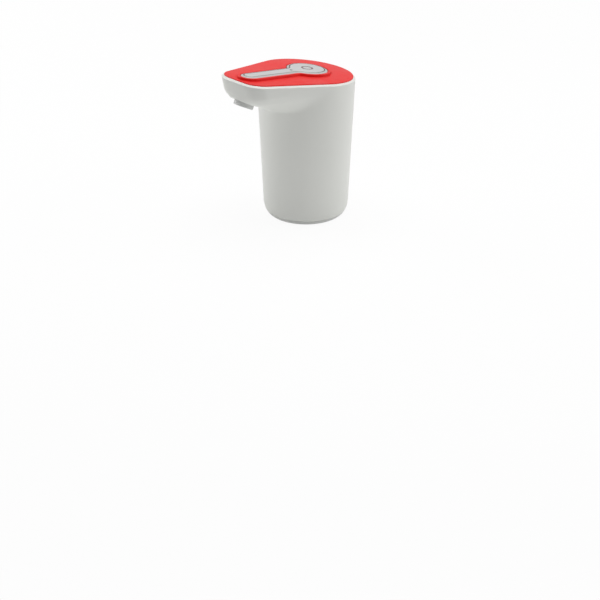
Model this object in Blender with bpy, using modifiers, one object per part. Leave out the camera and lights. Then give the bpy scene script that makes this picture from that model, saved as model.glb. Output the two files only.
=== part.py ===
# Rechargeable pump that stands on the neck of a large water bottle.
# Metres, +Z up. The bottle's mouth seats on the plane z = 0, and the spout points to -Y.
import math

import bmesh
import bpy
from mathutils import Matrix, Vector

# Fits between pieces
seat_gap = 0.0003            # between two faces that touch
key_side_gap = 0.00035       # between the key and the edge of its well
shaft_gap = 0.0004           # between the turning shaft and its bearings
overrun = 0.0006             # how far a cutter runs past the face it cuts

# Body, a tapered round moulding as high as the cell inside needs
base_thickness = 0.0026
cell_length = 0.0650
cell_head_room = 0.0089      # from the cell's top up to the rim's plane on the axis
body_height = base_thickness + seat_gap + cell_length + cell_head_room
body_top_radius = 0.03385
body_low_radius = 0.02986    # at the height where the foot's curve starts
foot_curve_start = 0.0164    # below the bottle seat
foot_curve_height = 0.0101
foot_curve_depth = 0.0060
skirt_depth = 0.0226         # how far the skirt hangs below the bottle seat
wall_thickness = 0.0018

# Spout, a beak with a blunt round end
spout_reach = 0.0651         # from the axis to the tip
spout_corner_radius = 0.0136
spout_corner_offset = 0.0082
spout_front_lean = math.radians(10.5)  # inward lean from the tip down to the chin
spout_side_lean = math.radians(20.0)  # inward lean of the sides, below the body's height
spout_chin_radius = 0.0095   # curve from the tip down to the sloping underside
spout_under_slope = math.radians(27.0)
spout_chin_drop = 0.0072     # underside below the body's height, at the nozzle
spout_root_radius = 0.0060   # hollow curve from the underside into the body
lid_rise_share = 0.154       # rise of the lid plane for each unit of length towards the spout

# Lid with its raised key well
lid_thickness = 0.0024
lid_rim_width = 0.0012       # bright edge of the body left around the lid
lid_proud = 0.0004           # the lid's face stands this far above the bright edge
well_height = 0.0016         # above the lid's face
well_wall = 0.0015
key_disc_radius = 0.0140
key_bar_width = 0.0122
key_bar_reach = 0.0576       # from the axis to the rounded end of the bar
key_disc_offset = 0.0010     # centre of the disc, towards the back
key_hollow_radius = 0.0050   # inner curve where the bar meets the disc
key_rim_width = 0.0011       # plain edge of the key round its inlaid face
key_face_depth = 0.0009
key_flange_width = 0.0011
key_flange_thickness = 0.0010
key_face_step = 0.0003       # how far the key's face stands above the well's edge
lens_reach = 0.0140          # from the axis to the lens over the charge lamp
lens_radius = 0.0008
lid_rib_height = 0.0022      # rib that centres the lid inside the body's wall
lid_rib_width = 0.0012
stem_length = 0.0004         # stem that presses the switch
stem_radius = 0.0022
post_radius = 0.0024         # posts that carry the board
post_hole_depth = 0.0040
post_root_share = 0.7        # depth of the posts' tops in the lid, as a part of its thickness

# Bottle neck fittings
seal_foot_drop = 0.0030      # the seal's rolled foot stands below the skirt
seal_wall = 0.0023
seal_lip_depth = 0.0006
seal_lip_count = 2
seat_step = 0.0006           # the mouth's flat seat stands below the plate's edge
boss_radius = 0.0036         # bosses for the base screws, grown out of the body's wall
boss_height = 0.0100
boss_angle = math.radians(20.0)
base_screw_length = 0.0080
vent_radius = 0.0012
vent_place = (-0.0120, -0.0010)
inlet_spigot_radius = 0.0036
hexagon_radius = 0.0062
hexagon_height = 0.0032

# Motor and diaphragm pump, upright behind the axis
pump_offset = 0.0115         # pump axis, towards the back
motor_radius = 0.0122
motor_head_room = 0.0005     # between the end cap and the charging socket's level
motor_shaft_radius = 0.0010
motor_boss_radius = 0.0031
motor_boss_height = 0.0016
pump_radius = 0.0132
crank_radius = 0.0048
crank_height = 0.0042
crank_tilt = math.radians(6.0)
magnet_thickness = 0.0021
magnet_foot_space = 0.0024   # from the can's floor up to the magnets
brush_space = 0.0040         # from the magnets up to the can's mouth
rotor_gap = 0.0005
rotor_foot_inset = 0.0012    # the rotor stands inside the magnets' ends
rotor_head_inset = 0.0022
commutator_head_gap = 0.0006
swing_rise = 0.0058          # swing point of the wobble plate above the housing's foot
crank_rise = 0.0034          # crank above the swing point
commutator_radius = 0.0026
end_cap_height = 0.0022
end_cap_top_share = 0.84     # radius of the cap's top, as a part of the motor's
end_cap_edge_share = 0.4     # height of the cap's upright edge, as a part of its own
shaft_end_share = 0.55       # how far up the cap the shaft reaches
rotor_slot_share = 0.52      # radius of the floor of a rotor slot, as a part of the rotor's
rotor_spread_share = 1.6     # angle between its floor's corners, as a part of its mouth's

# Cell, upright before the axis
cell_radius = 0.0092
cell_offset = 0.0145
sleeve_wall = 0.0011
sleeve_height = 0.0130
cap_radius = 0.0030
cap_height = 0.0008
cell_shoulder_share = 0.9    # radius at the cell's top edge, as a part of its own
cell_foot_share = 0.94       # the same at its lower edge

# Board under the lid
board_thickness = 0.0014
board_width = 0.0330
board_front = -0.0215
board_corner_share = 0.55    # length of the slanting corners, as a part of half the width
board_back_share = 0.48      # half width of the back edge, likewise
socket_overhang = 0.0016     # the socket's mouth stands past the board's edge
post_side_inset = 0.0043     # from the board's edges to the posts
post_front_inset = 0.0039
post_back_inset = 0.0086
switch_width = 0.0060
switch_height = 0.0016
plunger_radius = 0.0017
plunger_height = 0.0010
plunger_travel = 0.00055
plunger_hold = 0.0007        # part of the plunger inside the switch at rest
lamp_width = 0.0024
lamp_height = 0.0012
socket_width = 0.0090
socket_height = 0.0032
socket_length = 0.0066
socket_wall = 0.0004
tongue_width = 0.0062
tongue_height = 0.0007
port_gap = 0.0004            # between the socket and the hole in the body

# Water outlet
nozzle_radius = 0.0068
nozzle_bore_radius = 0.0045
nozzle_length = 0.0030       # part that shows below the chin
nozzle_setback = 0.0083      # from the spout's tip back to the nozzle's centre
nozzle_reach = spout_reach - nozzle_setback
hose_radius = 0.0038
hose_bore_radius = 0.0027
nozzle_flange_radius = 0.0072
nozzle_flange_thickness = 0.0014
nozzle_flange_rise = 0.0034  # the flange clears the curve of the chin
nozzle_neck_rise = 0.0062    # above the underside, inside the spout
nozzle_top_wall = 0.0014
barb_rise = 0.0025           # the level barb's axis above the nozzle's centre
barb_wall = 0.0008
nozzle_barb_length = 0.0140  # from the nozzle's centre to the barb's end
hose_end_gap = 0.0012        # the hose stops short of the nozzle's leaning side
hose_side = 0.0192           # where the hose climbs beside the cell
hose_climb_reach = 0.0034

# Screws
screw_radius = 0.0011
screw_head_radius = 0.0018
screw_head_height = 0.0014
screw_sink = 0.0002          # how far a sunk head lies inside the face
screw_edge_share = 0.35      # part of the head's height that the slanting edge takes
screw_face_share = 0.8       # the face's radius, as a part of the head's
slot_length_share = 1.3      # of the head's radius
slot_width_share = 0.5       # of the shank's radius
slot_depth_share = 0.8       # of the head's height, centred on the face

# Resolution
outline_points = 52
round_steps = 32
small_steps = 12
chin_steps = 4
slant_steps = 3
root_steps = 3
foot_steps = 3


def clear_scene():
    for old in list(bpy.data.objects):
        bpy.data.objects.remove(old, do_unlink=True)


def make_collection(name):
    group = bpy.data.collections.new(name)
    bpy.context.scene.collection.children.link(group)
    return group


clear_scene()
parts = make_collection("bottled_water_pump")
cutters = make_collection("pump_cutters")


def material(name, colour, roughness, metallic=0.0):
    made = bpy.data.materials.get(name) or bpy.data.materials.new(name)
    made.use_nodes = True
    shader = made.node_tree.nodes["Principled BSDF"]
    shader.inputs["Base Color"].default_value = (*colour, 1.0)
    shader.inputs["Roughness"].default_value = roughness
    shader.inputs["Metallic"].default_value = metallic
    return made


white_plastic = material("white_plastic", (0.80, 0.81, 0.78), 0.42)
red_plastic = material("red_plastic", (0.83, 0.08, 0.06), 0.45)
grey_plastic = material("grey_plastic", (0.30, 0.31, 0.31), 0.45)
silver_film = material("silver_film", (0.55, 0.56, 0.56), 0.35, 0.3)
nozzle_plastic = material("nozzle_plastic", (0.50, 0.51, 0.51), 0.45)
inner_plastic = material("inner_plastic", (0.62, 0.62, 0.60), 0.5)
black_plastic = material("black_plastic", (0.03, 0.03, 0.03), 0.5)
silicone = material("silicone", (0.72, 0.74, 0.74), 0.55)
steel = material("steel", (0.56, 0.57, 0.58), 0.3, 1.0)
brass = material("brass", (0.70, 0.52, 0.22), 0.3, 1.0)
copper = material("copper", (0.62, 0.28, 0.15), 0.35, 1.0)
ferrite = material("ferrite", (0.09, 0.09, 0.09), 0.7)
cell_wrap = material("cell_wrap", (0.05, 0.28, 0.40), 0.4)
board_green = material("board_green", (0.02, 0.17, 0.08), 0.45)
clear_lens = material("clear_lens", (0.75, 0.80, 0.85), 0.15)


def place(name, mesh, finish=None, location=(0, 0, 0)):
    obj = bpy.data.objects.new(name, mesh)
    obj.location = location
    if finish is None:
        cutters.objects.link(obj)
        obj.hide_render = True
        obj.display_type = "WIRE"
    else:
        mesh.materials.append(finish)
        parts.objects.link(obj)
    return obj


def finish_mesh(name, work, smooth_angle=math.radians(35)):
    bmesh.ops.recalc_face_normals(work, faces=work.faces)
    mesh = bpy.data.meshes.new(name)
    work.to_mesh(mesh)
    work.free()
    mesh.shade_smooth()
    mesh.set_sharp_from_angle(angle=smooth_angle)
    return mesh


def boolean(obj, other, operation="DIFFERENCE"):
    step = obj.modifiers.new(other.name, "BOOLEAN")
    step.operation = operation
    step.solver = "EXACT"
    step.object = other
    return step


def union(obj, other):
    return boolean(obj, other, "UNION")


def cylinder(name, radius, low, high, finish=None, centre=(0, 0), steps=small_steps):
    work = bmesh.new()
    bmesh.ops.create_cone(work, cap_ends=True, segments=steps,
                          radius1=radius, radius2=radius, depth=high - low)
    bmesh.ops.translate(work, verts=work.verts,
                        vec=(centre[0], centre[1], (low + high) / 2))
    return place(name, finish_mesh(name, work), finish)


def box(name, size, centre, finish=None):
    work = bmesh.new()
    bmesh.ops.create_cube(work, size=1)
    bmesh.ops.scale(work, verts=work.verts, vec=size)
    bmesh.ops.translate(work, verts=work.verts, vec=centre)
    return place(name, finish_mesh(name, work), finish)


def turned(name, profile, finish=None, centre=(0, 0), steps=round_steps, ring=False):
    # The profile runs down the outer side. A ring's profile closes on itself.
    work = bmesh.new()
    verts = [work.verts.new((radius, 0, height)) for radius, height in profile]
    edges = [work.edges.new(pair) for pair in zip(verts, verts[1:])]
    if ring:
        edges.append(work.edges.new((verts[-1], verts[0])))
    mesh = bpy.data.meshes.new(name)
    work.to_mesh(mesh)
    work.free()
    obj = place(name, mesh, finish, (centre[0], centre[1], 0))
    screw = obj.modifiers.new("turn", "SCREW")
    screw.steps = steps
    screw.render_steps = steps
    screw.use_merge_vertices = True
    screw.merge_threshold = 0.00001
    screw.use_smooth_shade = True
    return obj


def arc_points(centre_x, centre_y, radius, start, end, steps):
    angles = [start + (end - start) * step / steps for step in range(steps + 1)]
    return [(centre_x + radius * math.cos(a), centre_y + radius * math.sin(a)) for a in angles]


def lid_plane(y):
    return body_height - lid_rise_share * y


def prism(name, outline, top, bottom, finish=None, follow_lid=True):
    # A plate whose faces follow the sloping lid plane, with upright sides.
    work = bmesh.new()
    base = lid_plane if follow_lid else (lambda y: 0.0)
    upper = [work.verts.new((x, y, base(y) + top)) for x, y in outline]
    face = work.faces.new(upper)
    made = bmesh.ops.extrude_face_region(work, geom=[face])
    moved = [item for item in made["geom"] if isinstance(item, bmesh.types.BMVert)]
    bmesh.ops.translate(work, verts=moved, vec=(0, 0, bottom - top))
    return place(name, finish_mesh(name, work), finish)


def hull_outline(circles, count=outline_points):
    # Convex outline round several circles, its points evenly spaced from the back.
    fine = []
    for step in range(count * 4):
        angle = math.pi / 2 + 2 * math.pi * step / (count * 4)
        way = Vector((math.cos(angle), math.sin(angle)))
        best = max(circles, key=lambda item: way.x * item[0] + way.y * item[1] + item[2])
        fine.append(Vector((best[0], best[1])) + way * best[2])
    fine.append(fine[0])
    lengths = [0]
    for here, after in zip(fine, fine[1:]):
        lengths.append(lengths[-1] + (after - here).length)
    points = []
    span = 0
    for step in range(count):
        target = lengths[-1] * step / count
        while lengths[span + 1] <= target:
            span += 1
        share = (target - lengths[span]) / (lengths[span + 1] - lengths[span])
        points.append(tuple(fine[span].lerp(fine[span + 1], share)))
    return points


def body_radius(height):
    # A straight taper, then the quarter oval of the foot.
    above = height + foot_curve_start
    if above >= 0:
        taper = (body_top_radius - body_low_radius) / (body_height + foot_curve_start)
        return body_low_radius + taper * above
    share = min(-above / foot_curve_height, 1)
    return body_low_radius - foot_curve_depth * (1 - math.sqrt(1 - share * share))


def section_circles(radius, reach, inset, draw_in=0):
    spread_share = max(reach + inset - radius, 0) / (spout_reach - radius)
    side = spout_corner_offset * min(spread_share, 1)
    corner = spout_corner_radius - inset - draw_in
    back = corner - reach
    return [(0, 0, radius - inset), (side, back, corner), (-side, back, corner)]


def outer_outline(inset):
    return hull_outline(section_circles(body_top_radius, spout_reach - inset, inset))


def keyhole_outline(grow):
    # Disc with a long round-ended bar towards the spout, joined by two small hollows.
    half = key_bar_width / 2 + grow
    disc = key_disc_radius + grow
    hollow = key_hollow_radius - grow
    hollow_x = half + hollow
    hollow_y = key_disc_offset - math.sqrt((disc + hollow) ** 2 - hollow_x ** 2)
    end_y = key_bar_width / 2 - key_bar_reach
    join = math.atan2(hollow_y - key_disc_offset, hollow_x)
    side = arc_points(0, key_disc_offset, disc, math.pi / 2, join, 9)
    side += arc_points(hollow_x, hollow_y, hollow, join + math.pi, math.pi, 3)
    side += arc_points(0, end_y, half, 0, -math.pi / 2, 5)
    return side + [(-x, y) for x, y in reversed(side[1:-1])]


# Body shell: an outer form less the same form set in by the wall

tip_height = lid_plane(-spout_reach)
skirt_inner_radius = body_low_radius - wall_thickness
base_socket_top = base_thickness + seat_gap


def body_sections(inset, top, bottom):
    # (height, reach) from the top down: tip, chin curve, sloping underside, root curve, body.
    slope, lean = spout_under_slope, spout_front_lean
    chin = spout_chin_radius - inset
    root = spout_root_radius + inset
    front = spout_reach * math.cos(lean) - tip_height * math.sin(lean) - spout_chin_radius
    under = (nozzle_reach * math.sin(slope) - (body_height - spout_chin_drop) * math.cos(slope)
             - spout_chin_radius)
    turn = math.cos(lean + slope)
    chin_height = (front * math.sin(slope) - under * math.cos(lean)) / turn
    chin_reach = (front * math.cos(slope) - under * math.sin(lean)) / turn
    wall_reach = body_radius(body_height - spout_reach * math.tan(slope)) - inset
    root_reach = wall_reach + root
    root_height = (root_reach * math.sin(slope) - under - chin - root) / math.cos(slope)
    sweep = math.pi / 2 - slope
    chin_curve = arc_points(chin_reach, chin_height, chin, -lean, -sweep, chin_steps)
    root_curve = arc_points(root_reach, root_height, root, math.pi - sweep, math.pi, root_steps)
    start, end = Vector(chin_curve[-1]), Vector(root_curve[0])
    slant = [tuple(start.lerp(end, step / slant_steps)) for step in range(1, slant_steps)]
    sections = [(top, spout_reach - inset + (top - tip_height) * math.tan(lean))]
    sections += [(height, reach) for reach, height in chin_curve + slant + root_curve]
    if inset:
        return sections + [(base_socket_top, 0), (bottom, 0)]
    foot = skirt_depth - foot_curve_start
    return sections + [(-foot_curve_start - foot * step / foot_steps, 0)
                       for step in range(foot_steps + 1)]


def body_form(name, inset, top, bottom, finish=None):
    work = bmesh.new()
    rings = []
    for height, reach in body_sections(inset, top, bottom):
        if reach == 0:
            circles = [(0, 0, skirt_inner_radius if inset else body_radius(height))]
        else:
            draw_in = max(body_height - height, 0) * math.tan(spout_side_lean)
            circles = section_circles(body_radius(height), reach, inset, draw_in)
        rings.append([work.verts.new((x, y, height)) for x, y in hull_outline(circles)])
    count = len(rings[0])
    for upper, lower in zip(rings, rings[1:]):
        for step in range(count):
            after = (step + 1) % count
            work.faces.new((upper[step], lower[step], lower[after], upper[after]))
    work.faces.new(rings[0])
    work.faces.new(rings[-1])
    return place(name, finish_mesh(name, work), finish)


form_top = tip_height + overrun * 4
body_shell = body_form("body_shell", 0, form_top, -skirt_depth, white_plastic)
boolean(body_shell, body_form("shell_cavity_cutter", wall_thickness,
                              form_top + overrun, -skirt_depth - overrun))


def wide_outline():
    half = body_top_radius + overrun * 10
    return [(half, half), (-half, half), (-half, -spout_reach - half),
            (half, -spout_reach - half)]


# Everything above the sloping lid plane is cut away, then the seat of the lid
above = lid_rise_share * (spout_reach + body_top_radius) * 2 + form_top - body_height
boolean(body_shell, prism("lid_plane_cutter", wide_outline(), above, 0))
lid_seat_inset = lid_rim_width
lid_seat_depth = lid_thickness + seat_gap
boolean(body_shell, prism("lid_seat_cutter", outer_outline(lid_seat_inset),
                          overrun, -lid_seat_depth))

# Lid, a red plate with a raised well round the key

lid_inset = lid_seat_inset + seat_gap
key_well_inner = key_side_gap
key_well_outer = key_side_gap + well_wall
lid = prism("lid", outer_outline(lid_inset), lid_proud, -lid_thickness, red_plastic)
union(lid, prism("key_well_wall", keyhole_outline(key_well_outer),
                 lid_proud + well_height, -lid_thickness / 2))
boolean(lid, prism("key_well_cutter", keyhole_outline(key_well_inner),
                   lid_proud + well_height + overrun, -lid_thickness - overrun))

# Rib that centres the lid inside the body's wall, and posts that carry the board
lid_rib_inset = (wall_thickness + seat_gap * 2
                 + (lid_thickness + lid_rib_height) * math.tan(spout_front_lean))
lid_rib = prism("lid_rib", outer_outline(lid_rib_inset), -lid_thickness / 2,
                -lid_thickness - lid_rib_height)
boolean(lid_rib, prism("lid_rib_cutter", outer_outline(lid_rib_inset + lid_rib_width), 0,
                       -lid_thickness - lid_rib_height - overrun))
union(lid, lid_rib)

key_flange_top = lid_thickness + seat_gap
key_flange_low = key_flange_top + key_flange_thickness
board_depth = (key_flange_low + stem_length + seat_gap + plunger_height
               + switch_height + seat_gap)
board_low = -board_depth - board_thickness
half_board = board_width / 2
back_wall = body_radius(lid_plane(body_top_radius) + board_low - socket_height) - wall_thickness
socket_back = math.sqrt(back_wall ** 2 - (socket_width / 2) ** 2) - seat_gap
socket_high = lid_plane(socket_back) + board_low - seat_gap
socket_low = socket_high - socket_height
board_back = socket_back - socket_overhang
post_side = half_board - post_side_inset
post_places = [(x, y) for y in (board_front + post_front_inset, board_back - post_back_inset)
               for x in (post_side, -post_side)]
for index, (x, y) in enumerate(post_places, 1):
    low = lid_plane(y) - board_depth + seat_gap + lid_rise_share * post_radius
    post = cylinder(f"lid_post_{index}", post_radius, low,
                    lid_plane(y) - lid_thickness * post_root_share, centre=(x, y))
    union(lid, post)
    hole = cylinder(f"lid_post_hole_{index}", screw_radius + seat_gap,
                    low - overrun, low + post_hole_depth, centre=(x, y))
    boolean(lid, hole)

# Key, a keyhole plate that slides down in the well
key_top = lid_proud + well_height + key_face_step
face_thickness = key_face_depth - seat_gap
press_key = prism("press_key", keyhole_outline(0), key_top, -key_flange_low, grey_plastic)
union(press_key, prism("key_flange", keyhole_outline(key_flange_width),
                       -key_flange_top, -key_flange_low))
boolean(press_key, prism("key_face_recess", keyhole_outline(-key_rim_width),
                         key_top + overrun, key_top - key_face_depth))
key_y = key_disc_offset
stem_low = lid_plane(key_y) - key_flange_low - stem_length
union(press_key, cylinder("key_stem", stem_radius, stem_low, stem_low + stem_length * 3,
                          centre=(0, key_y)))
key_face = prism("key_face", keyhole_outline(-key_rim_width - seat_gap),
                 key_top, key_top - face_thickness, silver_film)

# Small lens in the key over the charge lamp
lens_y = -lens_reach
lens_hole = cylinder("lens_hole", lens_radius + seat_gap,
                     lid_plane(lens_y) - key_flange_low - overrun * 2,
                     lid_plane(lens_y) + key_top + overrun, centre=(0, lens_y), steps=12)
boolean(press_key, lens_hole)
boolean(key_face, lens_hole)
cylinder("status_lens", lens_radius,
         lid_plane(lens_y) - key_flange_low + overrun,
         lid_plane(lens_y) + key_top - lid_rise_share * lens_radius * 2,
         clear_lens, centre=(0, lens_y), steps=12)

# Outlet nozzle: a stub square to the sloping underside, with a barb towards the body inside
nozzle_centre = Vector((0, -nozzle_reach, body_height - spout_chin_drop))
nozzle_turn = Matrix.Rotation(-spout_under_slope, 4, "X")
barb_height = body_height - spout_chin_drop + barb_rise
nozzle_barb_reach = nozzle_reach - nozzle_barb_length


def tilted(name, profile, finish=None, ring=False, steps=round_steps - 8):
    obj = turned(name, profile, finish, steps=steps, ring=ring)
    obj.matrix_world = Matrix.Translation(nozzle_centre) @ nozzle_turn
    return obj


hole_radius = nozzle_radius + seat_gap
flange_low = wall_thickness + nozzle_flange_rise
nozzle_hole = tilted("nozzle_hole", [(0, flange_low), (hole_radius, flange_low),
                                     (hole_radius, -wall_thickness), (0, -wall_thickness)])
boolean(body_shell, nozzle_hole)
nozzle_top = nozzle_neck_rise + nozzle_top_wall
nozzle = tilted("outlet_nozzle", [
    (0, nozzle_top), (nozzle_radius, nozzle_top),
    (nozzle_radius, flange_low + nozzle_flange_thickness),
    (nozzle_flange_radius, flange_low + nozzle_flange_thickness),
    (nozzle_flange_radius, flange_low), (nozzle_radius, flange_low),
    (nozzle_radius, -nozzle_length), (0, -nozzle_length)], nozzle_plastic)
bore = tilted("nozzle_bore", [
    (0, nozzle_neck_rise), (nozzle_bore_radius, nozzle_neck_rise),
    (nozzle_bore_radius, -nozzle_length - overrun), (0, -nozzle_length - overrun)], steps=24)


def level_rod(name, radius, start_y, end_y, height, finish=None, x=0, steps=16):
    work = bmesh.new()
    bmesh.ops.create_cone(work, cap_ends=True, segments=steps, radius1=radius, radius2=radius,
                          depth=abs(end_y - start_y))
    bmesh.ops.rotate(work, verts=work.verts, matrix=Matrix.Rotation(math.pi / 2, 3, "X"))
    bmesh.ops.translate(work, verts=work.verts, vec=(x, (start_y + end_y) / 2, height))
    return place(name, finish_mesh(name, work), finish)


barb_radius = hose_bore_radius - seat_gap
barb_bore_radius = barb_radius - barb_wall
barb_root_y = -nozzle_reach + nozzle_bore_radius
union(nozzle, level_rod("nozzle_barb", barb_radius, barb_root_y, -nozzle_barb_reach, barb_height))
boolean(nozzle, bore)
boolean(nozzle, level_rod("nozzle_barb_bore", barb_bore_radius, -nozzle_reach,
                          -nozzle_barb_reach + overrun, barb_height, steps=10))

# Base plate across the body. The bottle's mouth seats on the lower step of its underside
base_radius = skirt_inner_radius - seat_gap
seal_outer = skirt_inner_radius - seat_gap
seal_inner = seal_outer - seal_wall
seat_radius = seal_inner - seal_lip_depth - seat_gap
base = turned("base_plate", [(0, base_thickness), (base_radius, base_thickness),
                             (base_radius, seat_step), (seat_radius, seat_step),
                             (seat_radius, 0), (0, 0)], inner_plastic, steps=36)
floor_top = base_thickness
cell_seat = floor_top + seat_gap
sleeve_inner = cell_radius + seat_gap
union(base, turned("cell_sleeve", [
    (sleeve_inner, sleeve_height), (sleeve_inner + sleeve_wall, sleeve_height),
    (sleeve_inner + sleeve_wall, floor_top / 2), (sleeve_inner, floor_top / 2)],
    centre=(0, -cell_offset), steps=24, ring=True))
inlet_hole_radius = inlet_spigot_radius + seat_gap
boolean(base, cylinder("inlet_hole", inlet_hole_radius, -overrun, floor_top + overrun,
                       centre=(0, pump_offset), steps=20))
boolean(base, cylinder("hexagon_pocket", hexagon_radius + seat_gap * 2, -overrun, seat_step,
                       centre=(0, pump_offset), steps=24))
boolean(base, cylinder("vent_hole", vent_radius, -overrun, floor_top + overrun,
                       centre=vent_place))


def stepped_hole(name, place_xy, low, high):
    # Hole for a screw whose head is sunk into the lower face.
    wide = screw_head_radius + seat_gap
    narrow = screw_radius + seat_gap
    step = low + screw_head_height + seat_gap
    return turned(name, [(0, high + overrun), (narrow, high + overrun), (narrow, step),
                         (wide, step), (wide, low - overrun), (0, low - overrun)],
                  centre=place_xy, steps=10)


boss_ring = base_radius - screw_head_radius - seat_gap * 2
boss_x, boss_y = boss_ring * math.cos(boss_angle), boss_ring * math.sin(boss_angle)
boss_places = [(boss_x, -boss_y), (-boss_x, -boss_y), (boss_x, boss_y), (-boss_x, boss_y)]
boss_low = base_socket_top
for index, (x, y) in enumerate(boss_places, 1):
    boss = cylinder(f"base_boss_{index}", boss_radius, boss_low, boss_low + boss_height,
                    centre=(x, y))
    union(body_shell, boss)
    boolean(body_shell, cylinder(f"boss_hole_{index}", screw_radius + seat_gap,
                                 boss_low - overrun, boss_low + base_screw_length,
                                 centre=(x, y), steps=12))
    boolean(base, stepped_hole(f"screw_hole_{index}", (x, y), 0, floor_top))


def screw(name, place_xy, face, length):
    # Pan head with its shank; the driving slot is cut across the head.
    under = face + screw_head_height
    tip = under + length
    outline = [(0, tip), (screw_radius, tip - screw_radius), (screw_radius, under),
               (screw_head_radius, under),
               (screw_head_radius, face + screw_head_height * screw_edge_share),
               (screw_head_radius * screw_face_share, face), (0, face)]
    made = turned(name, outline, steel, centre=place_xy, steps=10)
    slot = box(name + "_slot", (screw_head_radius * slot_length_share,
                                screw_radius * slot_width_share,
                                screw_head_height * slot_depth_share),
               (place_xy[0], place_xy[1], face))
    boolean(made, slot)
    return made


for index, place_xy in enumerate(boss_places, 1):
    screw(f"base_screw_{index}", place_xy, screw_sink, base_screw_length - seat_gap * 4
          + base_thickness - screw_head_height)

# Silicone sleeve that grips the bottle's neck. Its foot carries the body's curve on inwards
seal_foot = -skirt_depth - seal_foot_drop
foot_top = -skirt_depth - seat_gap
seal_profile = [(seal_inner, -seat_gap), (seal_outer, -seat_gap), (seal_outer, foot_top)]
for step in range(foot_steps + 1):
    height = foot_top + (seal_foot - foot_top) * step / foot_steps
    seal_profile.append((body_radius(height), height))
seal_profile.append((seal_inner, seal_foot))
lip_pitch = (skirt_depth + seal_foot_drop) / (seal_lip_count + 1)
for index in range(seal_lip_count, 0, -1):
    middle = -lip_pitch * index
    seal_profile += [(seal_inner, middle - seal_lip_depth),
                     (seal_inner - seal_lip_depth, middle),
                     (seal_inner, middle + seal_lip_depth)]
turned("neck_seal", seal_profile, silicone, steps=32, ring=True)

# Diaphragm pump and motor, one stack on an upright axis behind the cell
stack = (0, pump_offset)
pump_screw_ring = 0.0101
pump_screw_angles = [math.radians(a) for a in (30, 150, 270)]
cup_angles = [math.radians(a) for a in (90, 210, 330)]
head_low = floor_top + seat_gap
head_height = 0.0080
inlet_depth_share = 0.55     # depth of the water inlet, as a part of the head's height
outlet_root_share = 0.7      # where the outlet barb starts, as a part of the pump's radius
outlet_bore_share = 0.55     # where its bore starts
head_high = head_low + head_height
valve_low = head_high + seat_gap
valve_thickness = 0.0020
valve_high = valve_low + valve_thickness
diaphragm_low = valve_high + seat_gap
diaphragm_thickness = 0.0012
diaphragm_high = diaphragm_low + diaphragm_thickness
cup_ring = 0.0070
cup_radius = 0.0036
cup_height = 0.0030
cup_wall = 0.0008
housing_low = diaphragm_high + seat_gap
housing_height = 0.0172
housing_high = housing_low + housing_height
housing_wall = 0.0014
housing_floor = 0.0016
housing_inner = pump_radius - housing_wall


def around(angle, distance, centre=stack):
    return (centre[0] + distance * math.cos(angle), centre[1] + distance * math.sin(angle))


# Inlet fitting: a spigot up through the base, a hexagon below it and a barb for a hose
spigot_reach = 0.0028        # into the pump head
inlet_length = 0.0150        # from the bottle seat down to the barb's end
inlet_stem_radius = 0.0037
inlet_barb_radius = 0.0044
inlet_bore_radius = 0.0024
hexagon_top = seat_step - seat_gap
hexagon_low = hexagon_top - hexagon_height
barb_pitch = 0.0034
barb_edge_share = 0.75       # where a tooth of the barb is widest, as a part of the pitch
inlet_profile = [(0, head_low + spigot_reach), (inlet_spigot_radius, head_low + spigot_reach),
                 (inlet_spigot_radius, hexagon_low), (inlet_stem_radius, hexagon_low)]
for index in (2, 1):
    low = -inlet_length + barb_pitch * (index - 1)
    edge = low + barb_pitch * barb_edge_share
    inlet_profile += [(inlet_stem_radius, edge), (inlet_barb_radius, edge),
                      (inlet_stem_radius, low)]
inlet_profile += [(0, -inlet_length)]
inlet_barb = turned("inlet_barb", inlet_profile, inner_plastic, centre=stack, steps=20)
union(inlet_barb, cylinder("inlet_hexagon", hexagon_radius, hexagon_low, hexagon_top,
                           centre=stack, steps=6))
boolean(inlet_barb, cylinder("inlet_bore", inlet_bore_radius, -inlet_length - overrun,
                             head_low + spigot_reach + overrun, centre=stack, steps=14))

# Sealing ring round the spigot, in a groove under the pump head
o_ring_radius = 0.0007
o_ring_middle = inlet_spigot_radius + seat_gap + o_ring_radius
groove_radius = o_ring_middle + o_ring_radius + seat_gap
groove_top = floor_top + seat_gap * 2 + o_ring_radius * 2
o_ring_height = floor_top + seat_gap + o_ring_radius
turned("inlet_o_ring", [(o_ring_middle + x, o_ring_height + z) for x, z in
                        arc_points(0, 0, o_ring_radius, math.pi / 2, -math.pi * 1.5, 8)[:-1]],
       black_plastic, centre=stack, steps=20, ring=True)

# Pump head: the water chamber, with the outlet barb on its side
inlet_hole_top = head_low + head_height * inlet_depth_share
pump_head = turned("pump_head", [(0, head_high), (pump_radius, head_high),
                                 (pump_radius, head_low), (0, head_low)],
                   inner_plastic, centre=stack, steps=26)
boolean(pump_head, turned("pump_inlet_hole", [
    (0, inlet_hole_top), (inlet_hole_radius, inlet_hole_top),
    (inlet_hole_radius, groove_top), (groove_radius, groove_top),
    (groove_radius, head_low - overrun), (0, head_low - overrun)], centre=stack, steps=18))
outlet_angle = math.radians(-38)
outlet_height = head_low + head_height / 2
outlet_way = Vector((math.cos(outlet_angle), math.sin(outlet_angle), 0))
outlet_stub = 0.0034


def rod_between(name, radius, start, end, finish=None, steps=16):
    start, end = Vector(start), Vector(end)
    work = bmesh.new()
    bmesh.ops.create_cone(work, cap_ends=True, segments=steps, radius1=radius, radius2=radius,
                          depth=(end - start).length)
    turn = (end - start).to_track_quat("Z", "Y").to_matrix()
    bmesh.ops.rotate(work, verts=work.verts, matrix=turn)
    bmesh.ops.translate(work, verts=work.verts, vec=(start + end) / 2)
    return place(name, finish_mesh(name, work), finish)


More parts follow.
